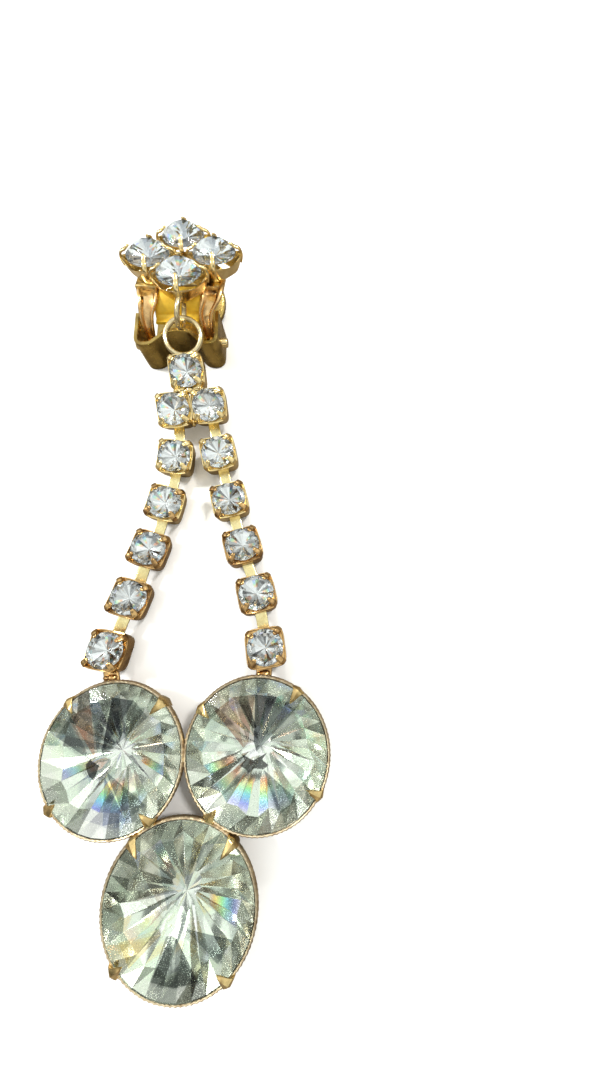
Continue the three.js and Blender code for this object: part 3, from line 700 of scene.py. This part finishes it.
def strip(path, across, halves, thick, section, around=24):
    """Sheet carried along a path: across is the fixed width direction, halves the half-width at
    each step and section(angle) the outline as (share of half-width, share of thickness)."""
    path = np.asarray(path, float)
    ahead = np.gradient(path, axis=0)
    ahead /= np.linalg.norm(ahead, axis=1, keepdims=True)
    across = np.broadcast_to(np.asarray(across, float), path.shape)
    away = np.cross(ahead, across)
    away /= np.linalg.norm(away, axis=1, keepdims=True)
    u, v = section(round_turn(around))
    halves, thick = (
        np.broadcast_to(value, len(path)).reshape(-1, 1, 1) for value in (halves, thick))
    return skin(path[:, None] + across[:, None] * halves * u[None, :, None]
                + away[:, None] * thick / 2 * v[None, :, None])


def rounded(angle, power=4.0):
    """Outline of flat sheet with soft edges: a superellipse of that power."""
    c, s = np.cos(angle), np.sin(angle)
    return np.sign(c) * np.abs(c) ** (2 / power), np.sign(s) * np.abs(s) ** (2 / power)


def ridged(angle):
    """Outline of a claw: flat below and with a ridge along its back."""
    u, v = rounded(angle, 3.0)
    return u, np.where(v < 0, -2.0 * (1 - np.abs(u)) ** 0.8 - 0.1, v)


def claw(angle, wall_at, wall_top, root, stone, girdle_top, slope, reach, width, pointed=False):
    """Claw at an angle round the stone: up the wall, over the girdle and along the crown."""
    lean, half = np.hypot(1, slope), 0.14
    profile = np.array([
        [wall_at - root * 0.2, wall_top - root],
        [wall_at - 0.02, wall_top - 0.1],
        [(wall_at + stone) / 2 + 0.1, girdle_top + 0.16],
        [stone - 0.06, girdle_top + half + 0.26],
        [stone - reach * 0.6, girdle_top + slope * reach * 0.6 + (0.1 + half) * lean + 0.05],
        [stone - reach, girdle_top + slope * reach + (0.06 + half) * lean],
    ])
    profile = smooth(profile, 22)
    a = np.radians(angle)
    path = polar(profile[:, 0], a, profile[:, 1])
    sideways = (-np.sin(a), np.cos(a), 0)
    along = np.linspace(0, 1, len(path))
    if pointed:
        share = np.interp(along, [0, 0.25, 0.5, 1], [1.0, 0.95, 0.75, 0.05])
        thick = np.interp(along, [0, 0.8, 1], [0.26, 0.24, 0.1])
        return strip(path, sideways, width / 2 * share, thick, ridged)
    share = np.interp(along, [0, 0.3, 0.65, 0.9, 1], [0.9, 1.0, 0.9, 0.6, 0.15])
    thick = np.interp(along, [0, 0.5, 0.85, 1], [0.22, 0.32, 0.3, 0.1])
    return strip(path, sideways, width / 2 * share, thick, lambda t: rounded(t, 2.8))


def ledge(half, radius, level, drop=0.25):
    """Seat that fills the corners round a stone: a flat ring from the square wall to a circle,
    with some depth, as four loops that close on themselves."""
    hole = polar(radius, round_turn(AROUND), 0.0)
    outer = square(half, 0)
    return skin(np.array([
        loop + (0, 0, z)
        for loop, z in ((outer, level), (hole, level), (hole, level - drop), (outer, level - drop))
    ]), closed=True)


def cup(width, base, height, dip, stone, floor=True, claw_width=0.66, reach=0.42):
    """A square cup as a list of skins in the cup's own place: its wall, its seat where it has a
    floor, and its four claws last."""
    corner = width / 2 * 2 ** (0.5 - 1 / POWER)
    parts = [cup_wall(width, base, height, dip, floor)]
    if floor:
        parts.append(ledge(width / 2 - 0.12, stone / 2 - 0.2, height - 0.24))
    return parts + [
        claw(a, corner - 0.12, height, 0.9, stone / 2, height + 0.12 + stone * 0.05, 0.74,
             reach, claw_width) for a in (45, 135, 225, 315)
    ]


# %% [markdown]
# ## The two rows of cups
# Four loose cups a side lie between the junction and the pendants. Each faces its
# neighbours, and each has its own small lean, because slack links let it roll. The
# same few places as in the model give every cup, stone and link.

# %% Row places
ROW_POSES = [
    {"lift": 0.85, "tilt": 6, "left": (-14.65, 21.55, 5), "right": (-9.28, 21.43, 0)},
    {"lift": 0.46, "tilt": 0, "left": (-16.24, 15.77, 9), "right": (-8.37, 15.27, 2)},
    {"lift": 0.46, "tilt": -6, "left": (-18.25, 10.2, 9), "right": (-7.25, 9.38, 6)},
    {"lift": 0.6, "tilt": -8, "left": (-20.38, 4.68, 8), "right": (-6.0, 3.7, 6)},
]
END_CUPS = {
    "left": {"angle": 100, "reach": 10.18, "turn": -12.5, "tilt": -6, "roll": 0, "lift": 0.75},
    "right": {"angle": 85.1, "reach": 9.69, "turn": 7, "tilt": -7, "roll": 3, "lift": 0.75},
}
PAIR = {"left": (-2.125, -4.25, 0), "right": (2.125, -4.25, 0)}
SLOT = 0.9


def end_cup_place(side):
    """Place of the last cup of a row, soldered to its large setting."""
    facts, centre = END_CUPS[side], LARGE[side]
    angle = np.radians(facts["angle"])
    return PENDANT @ place(
        centre[0] + facts["reach"] * np.cos(angle), centre[1] + facts["reach"] * np.sin(angle),
        facts["lift"], turn=facts["turn"], tilt=facts["tilt"], roll=facts["roll"],
    )


def row_places(side):
    """Places of all six cups of a row, from the junction's own to the soldered last one."""
    first = JUNCTION @ place(*PAIR[side])
    last = end_cup_place(side)
    centres = [first[:3, 3]] + [
        through(ORIGIN, (*pose[side][:2], pose["lift"]))[0] for pose in ROW_POSES
    ] + [last[:3, 3]]
    loose = []
    for i, pose in enumerate(ROW_POSES):
        back = centres[i] - centres[i + 2]
        turn = np.degrees(np.arctan2(-back[0], back[1]))
        loose.append(place(*centres[i + 1], turn=turn, tilt=pose["tilt"], roll=pose[side][2]))
    return [first] + loose + [last]


ROWS = {side: row_places(side) for side in ("left", "right")}
print("row steps in mm:", {
    side: [round(float(np.linalg.norm(b[:3, 3] - a[:3, 3])), 2) for a, b in zip(places, places[1:])]
    for side, places in ROWS.items()
})

# %% Loose cups, their stones and the links
def link(start, stop, sides):
    """Flat link between two cups' slots, as a skin: wide tongues inside the cups, a narrow neck
    between them."""
    along = (stop - start) / np.linalg.norm(stop - start)
    ends = np.array([start - along * 1.33, start - along * 0.83, start - along * 0.8,
                     stop + along * 0.8, stop + along * 0.83, stop + along * 1.33])
    path = np.vstack([np.linspace(a, b, 5)[:-1] for a, b in zip(ends, ends[1:])] + [ends[-1:]])
    halves = np.append(np.repeat([1.05, 0.9, 0.65, 0.7, 1.05], 4), 1.05)
    sides = sides - along * (sides @ along)
    return strip(path, sides / np.linalg.norm(sides), halves, 0.3, lambda t: rounded(t, 6.0))


SLOT_OUT = CUP["width"] / 2 - 0.32
for s, (side, places) in enumerate(ROWS.items()):
    for i in range(1, 5):
        parts = [moved(part, places[i]) for part in cup(**CUP)]
        # Painted shade: the last two loose cups, and the claws of the last three, take the darker
        # gilt.
        groups = [(GILT if i < 3 else SHADED_GILT, parts[:-4]), (GILT if i < 2 else SHADED_GILT, parts[-4:])]
        solid(f"row_cup_{side}_{i}", groups)
    for i in range(1, 6):
        seat = places[i] @ place(z=CUP_SEAT, turn=11 * i + 23 * s)
        brilliant(f"row_stone_{side}_{i}", CUP["stone"], seat, 10 * s + i)
    for i in range(5):
        start = through(places[i], (0, -SLOT_OUT, SLOT))[0]
        stop = through(places[i + 1], (0, SLOT_OUT, SLOT))[0]
        sides = (places[i][:3, 0] + places[i + 1][:3, 0]) / 2
        solid(f"row_link_{side}_{i + 1}", [(LINKS, [link(start, stop, sides)])])
print("rows:")
report([f"row_cup_{side}_{i}" for side in ROWS for i in range(1, 5)])
report([f"row_link_{side}_{i}" for side in ROWS for i in range(1, 6)])

# %% [markdown]
# ## The junction
# One cup sits above a pair, all soldered into one piece, with an eye ring standing
# on the upper cup. Solder leaves small bright lumps where corners meet, so a few
# soft lumps bridge the joints.

# %% Rings, lumps and the junction
WIRE = 0.62


def wire_ring(outer, wire, matrix, gap=0.0, around=20, steps=72):
    """Round wire bent to a circle: a circle of radius wire/2 carried round one of radius
    (outer - wire)/2 in the XY plane. A gap leaves the butted cut of an opened ring."""
    angle = np.linspace(gap, 2 * np.pi - gap, steps) if gap else round_turn(steps)
    small = round_turn(around)
    reach = (outer - wire) / 2 + wire / 2 * np.cos(small)
    rows = polar(reach, angle[:, None], wire / 2 * np.sin(small))
    return moved(skin(rows, closed=not gap), matrix)


def lump(x, y, z, wide, deep, high, seed):
    """Solder lump: a ball of radii (wide, deep, high) whose radius swells by a few percent in
    slow waves round it."""
    rng = np.random.default_rng(seed)
    phase = rng.uniform(0, 2 * np.pi, 3)
    up = np.linspace(0.04, np.pi - 0.04, 14)[:, None]
    round_ = np.linspace(0, 2 * np.pi, 24, endpoint=False)[None, :]
    wave = 0.10 * np.sin(3 * round_ + phase[0]) * np.sin(up)
    swell = 1 + wave + 0.07 * np.sin(2 * up + 2 * round_ + phase[1])
    return skin(np.stack([
        x + wide * swell * np.sin(up) * np.cos(round_),
        y + deep * swell * np.sin(up) * np.sin(round_),
        z + high * swell * np.cos(up) * np.ones_like(round_),
    ], axis=-1))


EYE_OUTER, JUMP_OUTER = 4.9, 3.8
step = CUP["width"] - 0.05
JUNCTION_CUPS = {"top": (0, 0), "left": (-step / 2, -step), "right": (step / 2, -step)}
parts = [moved(part, place(x, y)) for x, y in JUNCTION_CUPS.values() for part in cup(**CUP)]
eye_y = CUP["width"] / 2 + (EYE_OUTER - WIRE) / 2 + WIRE / 2 - 0.25
eye = wire_ring(EYE_OUTER, WIRE, place(0, eye_y, CUP["height"] * 0.62))
parts += [
    lump(0.0, -step / 2 - 0.1, 2.15, 0.75, 0.42, 0.4, 1),
    lump(-1.5, -step / 2, 2.0, 0.5, 0.3, 0.35, 2),
    lump(1.45, -step / 2 - 0.05, 2.05, 0.45, 0.3, 0.35, 3),
    lump(0.0, -step * 1.42, 1.9, 0.3, 0.45, 0.4, 4),
    lump(0.55, CUP["width"] / 2 + 0.05, 1.5, 0.6, 0.35, 0.4, 5),
    lump(-0.6, CUP["width"] / 2 + 0.02, 1.45, 0.5, 0.3, 0.35, 6),
]
solid("junction_setting", [
    (GILT, [moved(part, JUNCTION) for part in parts]), (WIRES, [moved(eye, JUNCTION)]),
])
for i, (side, (x, y)) in enumerate(JUNCTION_CUPS.items()):
    seat = JUNCTION @ place(x, y, CUP_SEAT, turn=17 * i)
    brilliant(f"junction_stone_{side}", CUP["stone"], seat, 40 + i)
report(["junction_setting"])

# %% [markdown]
# ## The large settings
# Each large stone sits in a shallow cone of sheet that ends in a thin rim. The rim is
# pressed over the girdle and carries a fine milled edge, which catches the light as a
# pale grainy line. A turned profile gives the cone, and a small sine round the rim
# gives the milling. Four pointed claws hold the stone, and solder joins the rims.

# %% Pendant settings and their pointed stones
CLAWS = {"left": (130, 45, 218, 308), "right": (53, 142, 230, 328), "bottom": (130, 46, 219, 311)}
RIVOLI = {"diameter": 13.9, "crown": 1.9, "back": 2.95, "girdle": 0.25}
# Colours of the painted reflections on the large stones.
DARK, GREY, ASH = (0.13, 0.14, 0.15), (0.40, 0.43, 0.43), (0.24, 0.26, 0.25)
ROSE, PALE = (0.62, 0.45, 0.38), (0.95, 1.0, 0.94)
# Angle, half-width, colour and fire of the painted reflections and painted fire on the facets that
# stand out in each stone, then the angle of the lit side of its tip and the cosine past which the
# tip has painted shade.
PAINTED_STONE_LIGHT = {
    "left": ([
        (79, 12, DARK, 0), (101, 7, GREY, 0), (124, 10, ROSE, 0), (146, 8, GREY, 0),
        (56, 8, GREY, 0), (168, 10, PALE, 0), (200, 6, None, 0.6), (226, 12, PALE, 0),
        (258, 8, (0.7, 0.7, 0.75), 0.9), (281, 8, (0.42, 0.46, 0.58), 0.6),
        (304, 7, GREY, 0.3), (345, 7, None, 0.6),
    ], (30, -0.7)),
    "right": ([
        (79, 12, DARK, 0), (101, 8, (0.40, 0.32, 0.28), 0), (124, 10, ROSE, 0.15),
        (56, 8, GREY, 0), (150, 10, PALE, 0), (200, 7, None, 0.6), (224, 6, GREY, 0.6),
        (238, 6, None, 0.8), (256, 5, None, 0.9), (281, 7, None, 0.9), (304, 7, GREY, 0.3),
        (338, 12, PALE, 0), (20, 12, PALE, 0),
    ], (90, 0.3)),
    "bottom": ([
        (79, 12, (0.66, 0.69, 0.69), 0), (101, 12, (0.52, 0.55, 0.55), 0),
        (124, 9, (0.70, 0.66, 0.6), 0), (124, 6, None, 0.5), (146, 7, (0.78, 0.78, 0.74), 0),
        (213, 8, (0.95, 0.85, 0.6), 0.3), (236, 10, PALE, 0), (259, 11, ASH, 0),
        (281, 11, ASH, 0), (304, 9, PALE, 0), (326, 7, GREY, 0), (350, 8, None, 0.95),
        (180, 12, PALE, 0), (20, 12, PALE, 0),
    ], None),
}


def large_shell(around=288, teeth=96):
    """Turned shell: radius and height pairs from the middle of the base, up the cone, over the
    rim and down the inside. The rim rows add 0.03 mm times cos(teeth x angle)."""
    rim, stone, base = RIM / 2, RIVOLI["diameter"] / 2, 5.1
    profile = np.array([
        [0.5, 0.0, 0], [base - 0.35, 0.0, 0], [base - 0.08, 0.06, 0], [base + 0.08, 0.25, 0],
        [rim - 0.36, LARGE_SEAT - 0.85, 0], [rim - 0.2, LARGE_SEAT - 0.66, 0],
        [rim - 0.02, LARGE_SEAT - 0.38, 0.6], [rim, LARGE_SEAT - 0.12, 1],
        [rim - 0.04, LARGE_SEAT + 0.1, 1], [rim - 0.16, LARGE_SEAT + 0.2, 1],
        [stone + 0.1, LARGE_SEAT + 0.17, 1], [stone + 0.06, LARGE_SEAT + 0.05, 0],
        [stone + 0.1, LARGE_SEAT - 0.12, 0], [stone - 0.66, LARGE_SEAT - 0.57, 0],
        [base - 0.3, 0.4, 0], [0.5, 0.4, 0],
    ])
    angle = round_turn(around)
    radius = profile[:, :1] + 0.03 * profile[:, 2:] * np.cos(teeth * angle)
    height = profile[:, 1:2] + 0.02 * profile[:, 2:] * np.cos(teeth * angle)
    return skin(polar(radius, angle, height))


SLOPE = RIVOLI["crown"] * 0.37 / (RIVOLI["diameter"] / 2 * 0.2)
metal_parts, rim_parts, claw_parts = [], [], []
for side, (x, y) in LARGE.items():
    at = PENDANT @ place(x, y)
    rim_parts.append(moved(large_shell(), at))
    for angle in CLAWS[side]:
        claw_parts.append(moved(claw(
            angle, RIM / 2 - 0.1, LARGE_SEAT - 0.05, 1.3, RIVOLI["diameter"] / 2,
            LARGE_SEAT + RIVOLI["girdle"], SLOPE, 1.2, 1.5, pointed=True), at))
for side, facts in END_CUPS.items():
    metal_parts += [moved(part, end_cup_place(side)) for part in cup(**CUP)]
    x, y = LARGE[side]
    a = np.radians(facts["angle"])
    out = np.array([np.cos(a), np.sin(a)])
    radii = np.linspace(RIM / 2 - 0.6, facts["reach"] - CUP["width"] / 2 + 0.4, 8)
    path = np.stack([x + radii * out[0], y + radii * out[1], np.full(8, LARGE_SEAT - 1.5)], axis=-1)
    tab = strip(path, (-out[1], out[0], 0), 0.85, 0.5, lambda t: rounded(t, 3.0))
    metal_parts.append(moved(tab, PENDANT))
    metal_parts.append(moved(lump(*(path[3][:2]), LARGE_SEAT - 1.2, 0.8, 0.4, 0.35, 9), PENDANT))
# The rims meet half-way between the settings' middles.
MEETINGS = [(0, 0), (-SPACING / 4, -SPACING * 0.433), (SPACING / 4, -SPACING * 0.433)]
for k, (x, y) in enumerate(MEETINGS):
    metal_parts.append(moved(lump(x, y, LARGE_SEAT - 0.35, 0.34, 0.5, 0.34, 20 + k), PENDANT))
# The pendant's cups, tabs and solder take the darker gilt, painted shade.
solid("pendant_setting", [(RIMS, rim_parts), (CLAWS_OLD, claw_parts), (SHADED_GILT, metal_parts)])

for i, (side, (x, y)) in enumerate(LARGE.items()):
    seat = PENDANT @ place(x, y, LARGE_SEAT)
    rivoli(f"rivoli_{side}", seat, 60 + i, *PAINTED_STONE_LIGHT[side], **RIVOLI)
report(["row_stone_left_5", "row_stone_right_5", "pendant_setting"])
report([f"rivoli_{side}" for side in LARGE])

# %% [markdown]
# ## The four-stone top
# The top is four open-backed cells set as a diamond. Their walls flare and dip between
# the corners, so the underside shows scallops. They are joined to a plate, which two
# channelled legs and a spring tongue carry over the hinge.

# %% Top cells
CELL = {"width": 5.64, "base": 4.2, "height": 2.0, "dip": 0.5, "stone": 5.2}
PITCH = 5.6 / np.sqrt(2)
CELLS = {"north": (0, PITCH), "east": (PITCH, 0), "south": (0, -PITCH), "west": (-PITCH, 0)}
top_parts = []
for x, y in CELLS.values():
    at = TOP @ place(x, y, -CELL["height"], turn=45)
    open_cell = cup(**CELL, floor=False, claw_width=0.58, reach=0.75)
    top_parts += [moved(part, at) for part in open_cell]
for i, (side, (x, y)) in enumerate(CELLS.items()):
    seat = TOP @ place(x, y, 0.12, turn=45 + 7 * i)
    # Painted reflection: a grey patch on one side of each top stone.
    shade = [(45 - 7 * i, 24, (0.60, 0.63, 0.66), 0)]
    brilliant(f"top_stone_{side}", CELL["stone"], seat, 80 + i, shade, calm=0.3, back=0.12)

# %% [markdown]
# ## The clip frame
# The legs are cut from sheet and pressed with a channel, which stiffens them and shows
# as a shadow down each leg. A strip carried along a smooth path with a grooved outline
# gives both at once.

# %% Legs, tongue, plate and pins
PIVOT = 2.3
TILT = np.radians(12.7)


def back_level(y):
    """Height of the plate's middle at a distance y along the clip."""
    return 8.1 - 2.25 / np.cos(TILT) - (y - 7.6) * np.tan(TILT)


def channelled(angle):
    """Sheet pressed into a channel: both faces lie back by exp(-(u / 0.6)^6) in the middle."""
    u, v = rounded(angle, 5.0)
    return u, v + 1.5 * np.exp(-(u / 0.6) ** 6)


HINGE_HALF, LEG_RISE, LEG_RUN, LEG_LEAN = 4.35, 4.05, 6.0, 0.95
FLAT = np.nan
# Shares of those sizes: along, rise (flat under the plate), lean, inner and outer.
legs = np.array([
    [-0.017, -0.136, 0, 0.77, 1], [0.017, 0.074, 0, 0.77, 1], [0.075, 0.296, 0.05, 0.736, 1.02],
    [0.158, 0.543, 0.1, 0.7, 1.03], [0.267, 0.79, 0.25, 0.655, 1.07], [0.433, 1, 0.85, 0.61, 1.172],
    [0.667, FLAT, 1, 0.586, 1.24], [1, FLAT, 1, 0.586, 1.26],
])
tongue = np.array([
    [0.192, 0.556, 0.1, -0.632, 0.632], [0.283, 0.568, 0.15, -0.632, 0.632],
    [0.358, 0.63, 0.25, -0.64, 0.64], [0.392, 0.741, 0.4, -0.65, 0.65],
    [0.458, 0.889, 0.6, -0.66, 0.66], [0.567, 1.012, 0.85, -0.66, 0.66],
    [0.733, FLAT, 1, -0.64, 0.64], [1, FLAT, 1, -0.64, 0.64],
])


def frame_strip(table, side, thick, section):
    """Strip of the clip frame on one side of its middle, from a table of shares."""
    y = table[:, 0] * LEG_RUN
    z = np.where(np.isnan(table[:, 1]), back_level(y), PIVOT + table[:, 1] * LEG_RISE)
    x = side * HINGE_HALF * (table[:, 3] + table[:, 4]) / 2 + table[:, 2] * LEG_LEAN
    fine = smooth(np.column_stack([x, y, z, HINGE_HALF * (table[:, 4] - table[:, 3]) / 2]), 57)
    return moved(strip(fine[:, :3], (1, 0, 0), fine[:, 3], thick, section, around=48), CLIP)


leg_parts = [frame_strip(legs, side, 0.6, channelled) for side in (-1, 1)]
for side in (-1, 1):
    pin = np.array([[side * x, 0, PIVOT] for x in (3.85, 5.9, 6.02, 6.05)])
    share = np.array([1, 1, 0.9, 0.75])
    pin = strip(pin, (0, 1, 0), 0.6 * share, 1.2 * share, lambda t: (np.cos(t), np.sin(t)))
    top_parts.append(moved(pin, CLIP))
spring = frame_strip(tongue, 1, 0.42, lambda t: rounded(t, 8.0))

corners = np.array([[-5.9, -2.9], [4.9, -2.9], [4.9, 0.6], [2.6, 3.2], [-3.2, 3.2], [-5.9, 0.6]])
following = np.roll(corners, -1, axis=0)
outline = np.vstack([np.linspace(a, b, 12, endpoint=False) for a, b in zip(corners, following)])
middle = outline.mean(axis=0)
plate = np.array([
    np.column_stack([middle + (outline - middle) * grow, np.full(len(outline), z)])
    for grow, z in ((0.02, -2.55), (0.97, -2.55), (1.0, -2.48),
                    (1.0, -2.02), (0.97, -1.95), (0.02, -1.95))
])
top_parts.append(moved(skin(plate), TOP @ place(turn=-4)))
solid("top_setting", [(GILT, top_parts), (LEGS, leg_parts), (TONGUE_PAINTED_LIGHT, [spring])])
report(["top_setting"])

# %% [markdown]
# ## The lever
# The lever is one bent sheet: a wall that wraps each leg in a rounded lobe, a floor and
# the oval paddle that presses the back of the ear. It rides on the hinged body. It has
# dulled to an olive brown in patches.

# %% Lever
LEVER_HALF, LOBE_DEPTH, LEVER_HEIGHT = 5.1, 1.75, 4.6
# Shares of those sizes: side, along and height.
lobes = np.array([
    [1, 1.486, 1.04], [1, 1.14, 1.035], [1, 0.8, 1.03], [1, 0.14, 1.02], [1, -0.514, 1.011],
    [0.967, -0.8, 1], [0.864, -1, 1], [0.641, -0.943, 1], [0.485, -0.514, 0.989],
    [0.291, 0.057, 0.957], [0, 0.229, 0.946],
])
mirrored = lobes[-2::-1] * (-1, 1, 1)
wall = smooth(np.vstack([lobes, mirrored]) * (LEVER_HALF, LOBE_DEPTH, LEVER_HEIGHT), 181)
ahead = np.gradient(wall[:, :2], axis=0)
ahead /= np.linalg.norm(ahead, axis=1, keepdims=True)
side_way = np.stack([-ahead[:, 1], ahead[:, 0]], axis=-1)
u, v = rounded(round_turn(32), 14.0)
HALF_SHEET = 0.25
rows = np.stack([
    wall[:, 0:1] + side_way[:, 0:1] * HALF_SHEET * u,
    wall[:, 1:2] + side_way[:, 1:2] * HALF_SHEET * u,
    wall[:, 2:3] * (0.5 + 0.5 * v),
], axis=-1)
lever_parts = [skin(rows)]
middle = np.array([0, 1.4])
flat = np.array([
    np.column_stack([middle + (wall[:, :2] - middle) * grow, np.full(len(wall), z)])
    for grow, z in ((0.05, 0.0), (1, 0.0), (1, 0.5), (0.05, 0.5))
])
lever_parts.append(skin(flat))
angle = round_turn(AROUND)
PADDLE_AT, PADDLE_WIDE, PADDLE_LONG = 8.0, 5.0, 5.8
paddle = np.array([
    np.column_stack([PADDLE_WIDE * grow * np.cos(angle),
                     PADDLE_AT + PADDLE_LONG * grow * np.sin(angle), np.full(AROUND, z)])
    for grow, z in ((0.05, 0.0), (0.96, 0.0), (1.0, 0.1), (1.0, 0.66),
                    (0.975, 0.76), (0.93, 0.8), (0.5, 0.8), (0.05, 0.8))
])
lever_parts.append(skin(paddle))
neck = np.array([[0, y, 0.4] for y in np.linspace(1.9, 5.3, 10)])
lever_parts.append(strip(neck, (1, 0, 0), 4.3, 0.8, lambda t: rounded(t, 10.0), around=48))
solid("clip_lever", [(BRASS, [moved(part, CLIP) for part in lever_parts])], body="lever")
report(["clip_lever"])

# %% [markdown]
# ## The jump ring
# A plain round ring of wire joins the top to the eye. Its two cut ends butt together, so
# a hairline gap shows on one side.

# %% Jump ring
hole = through(TOP, (0.08, -7.033, -0.8))[0]
foot = through(TOP, (0.08, -5.922, -2.0))[0]
chord = hole - foot
outward = np.array([-0.3, -1, -0.45])
outward = outward / np.linalg.norm(outward)
away = outward - chord * (outward @ chord) / (chord @ chord)
away /= np.linalg.norm(away)
radius = (JUMP_OUTER - WIRE) / 2
centre = (hole + foot) / 2 + away * np.sqrt(radius ** 2 - chord @ chord / 4)
way = chord / np.linalg.norm(chord)
at = np.eye(4)
at[:3, :3] = np.stack([away, way, np.cross(away, way)], axis=-1)
at[:3, 3] = centre
bent = wire_ring(JUMP_OUTER, WIRE, at @ place(turn=-75), gap=0.012)
solid("jump_ring", [(WIRES, [bent])])
report(["jump_ring"])

# %% [markdown]
# ## Surface, light and surroundings
# Polished metal and foiled glass show their surroundings, so these matter as much as the
# lamps. A pale room overhead gives the stones their soft grey-green. It is dark low down,
# which gives the gold its bronze, with one warm patch in front that lights the legs of the
# clip. The camera itself sees a plain pale backdrop, and the floor is darker to the stones
# than to the camera. Small lamps give short bright glints, where wide ones would bleach
# whole facets.

# %% Floor
FLOOR_HALF, FLOOR_LEVEL = 0.6, -0.00003
floor_mesh = bpy.data.meshes.new("floor")
floor_mesh.from_pydata([
    (x * FLOOR_HALF, y * FLOOR_HALF, FLOOR_LEVEL) for x, y in ((-1, -1), (1, -1), (1, 1), (-1, 1))
], [], [(0, 1, 2, 3)])
floor = bpy.data.objects.new("floor", floor_mesh)
bpy.context.collection.objects.link(floor)
paper, tree, shader = finish("floor_paper")
where = node(tree, "ShaderNodeTexCoord").outputs["Object"]
grain = noise(tree, where, 300.0, 3.0)
tone = ramp(tree, grain, [(0.3, (0.90, 0.90, 0.895)), (0.7, (0.93, 0.93, 0.925))])
seen = node(tree, "ShaderNodeLightPath").outputs["Is Camera Ray"]
tree.links.new(mixed(tree, seen, (0.20, 0.165, 0.12, 1), tone), shader.inputs["Base Color"])
shader.inputs["Roughness"].default_value = 0.7
floor_mesh.materials.append(paper)
print("floor", 2 * FLOOR_HALF, "m wide, in", paper.name)

# %% World and lamps
world = bpy.data.worlds.new("room")
bpy.context.scene.world = world
world.use_nodes = True
tree = world.node_tree
background = tree.nodes["Background"]
direction = node(tree, "ShaderNodeTexCoord").outputs["Generated"]


def patch(towards, inner, outer):
    """Mask of directions within an angle of one direction: 1 inside, 0 past the outer angle."""
    towards = np.array(towards, float) / np.linalg.norm(towards)
    facing = node(tree, "ShaderNodeVectorMath", {
        0: direction, 1: tuple(towards),
    }, operation="DOT_PRODUCT")
    return node(tree, "ShaderNodeMapRange", {
        "Value": facing.outputs["Value"], "From Min": np.cos(np.radians(outer)),
        "From Max": np.cos(np.radians(inner)),
    }, interpolation_type="SMOOTHSTEP").outputs[0]


height = node(tree, "ShaderNodeSeparateXYZ", {0: direction}).outputs["Z"]
room = ramp(tree, height, [
    (0.0, (0.02, 0.017, 0.013)), (0.10, (0.05, 0.045, 0.035)), (0.24, (0.5, 0.51, 0.49)),
    (0.46, (0.95, 0.98, 0.95)), (1.0, (1.05, 1.08, 1.05)),
])
# Direction, inner and outer angle and colour of each patch: two dim ones, the warm one in front
# and two bright ones.
for towards, inner, outer, colour in (
    ((0.1, -1, 0.7), 8, 20, (0.20, 0.21, 0.21)),
    ((-1, -0.5, 0.7), 8, 16, (0.3, 0.31, 0.3)),
    ((0.0, -1, 0.22), 9, 16, (1.1, 1.0, 0.85)),
    ((-0.5, 0.9, 0.75), 9, 16, (1.3, 1.32, 1.3)),
    ((0.9, 0.5, 0.8), 8, 14, (1.2, 1.2, 1.17)),
):
    room = mixed(tree, patch(towards, inner, outer), room, (*colour, 1))
seen = node(tree, "ShaderNodeLightPath").outputs["Is Camera Ray"]
tree.links.new(mixed(tree, seen, room, (0.96, 0.96, 0.955, 1)), background.inputs["Color"])
background.inputs["Strength"].default_value = 1.0


def lamp(name, at, size, power, colour):
    """Square soft lamp that looks at the middle of the earring."""
    data = bpy.data.lights.new(name, "AREA")
    data.shape = "SQUARE"
    data.size = size
    data.energy = power
    data.color = colour
    thing = bpy.data.objects.new(name, data)
    bpy.context.collection.objects.link(thing)
    thing.rotation_mode = "QUATERNION"
    thing.rotation_quaternion = Vector(at).to_track_quat("Z", "Y")
    thing.location = at


lamp("window", (-0.27, 0.12, 0.30), 0.07, 1.5, (1.0, 1.0, 0.98))
lamp("ceiling", (0.20, 0.10, 0.34), 0.05, 0.9, (1.0, 0.97, 0.92))
lamp("spark", (0.05, 0.28, 0.20), 0.02, 0.25, (1.0, 0.98, 0.95))
bpy.context.scene.view_settings.view_transform = "Standard"
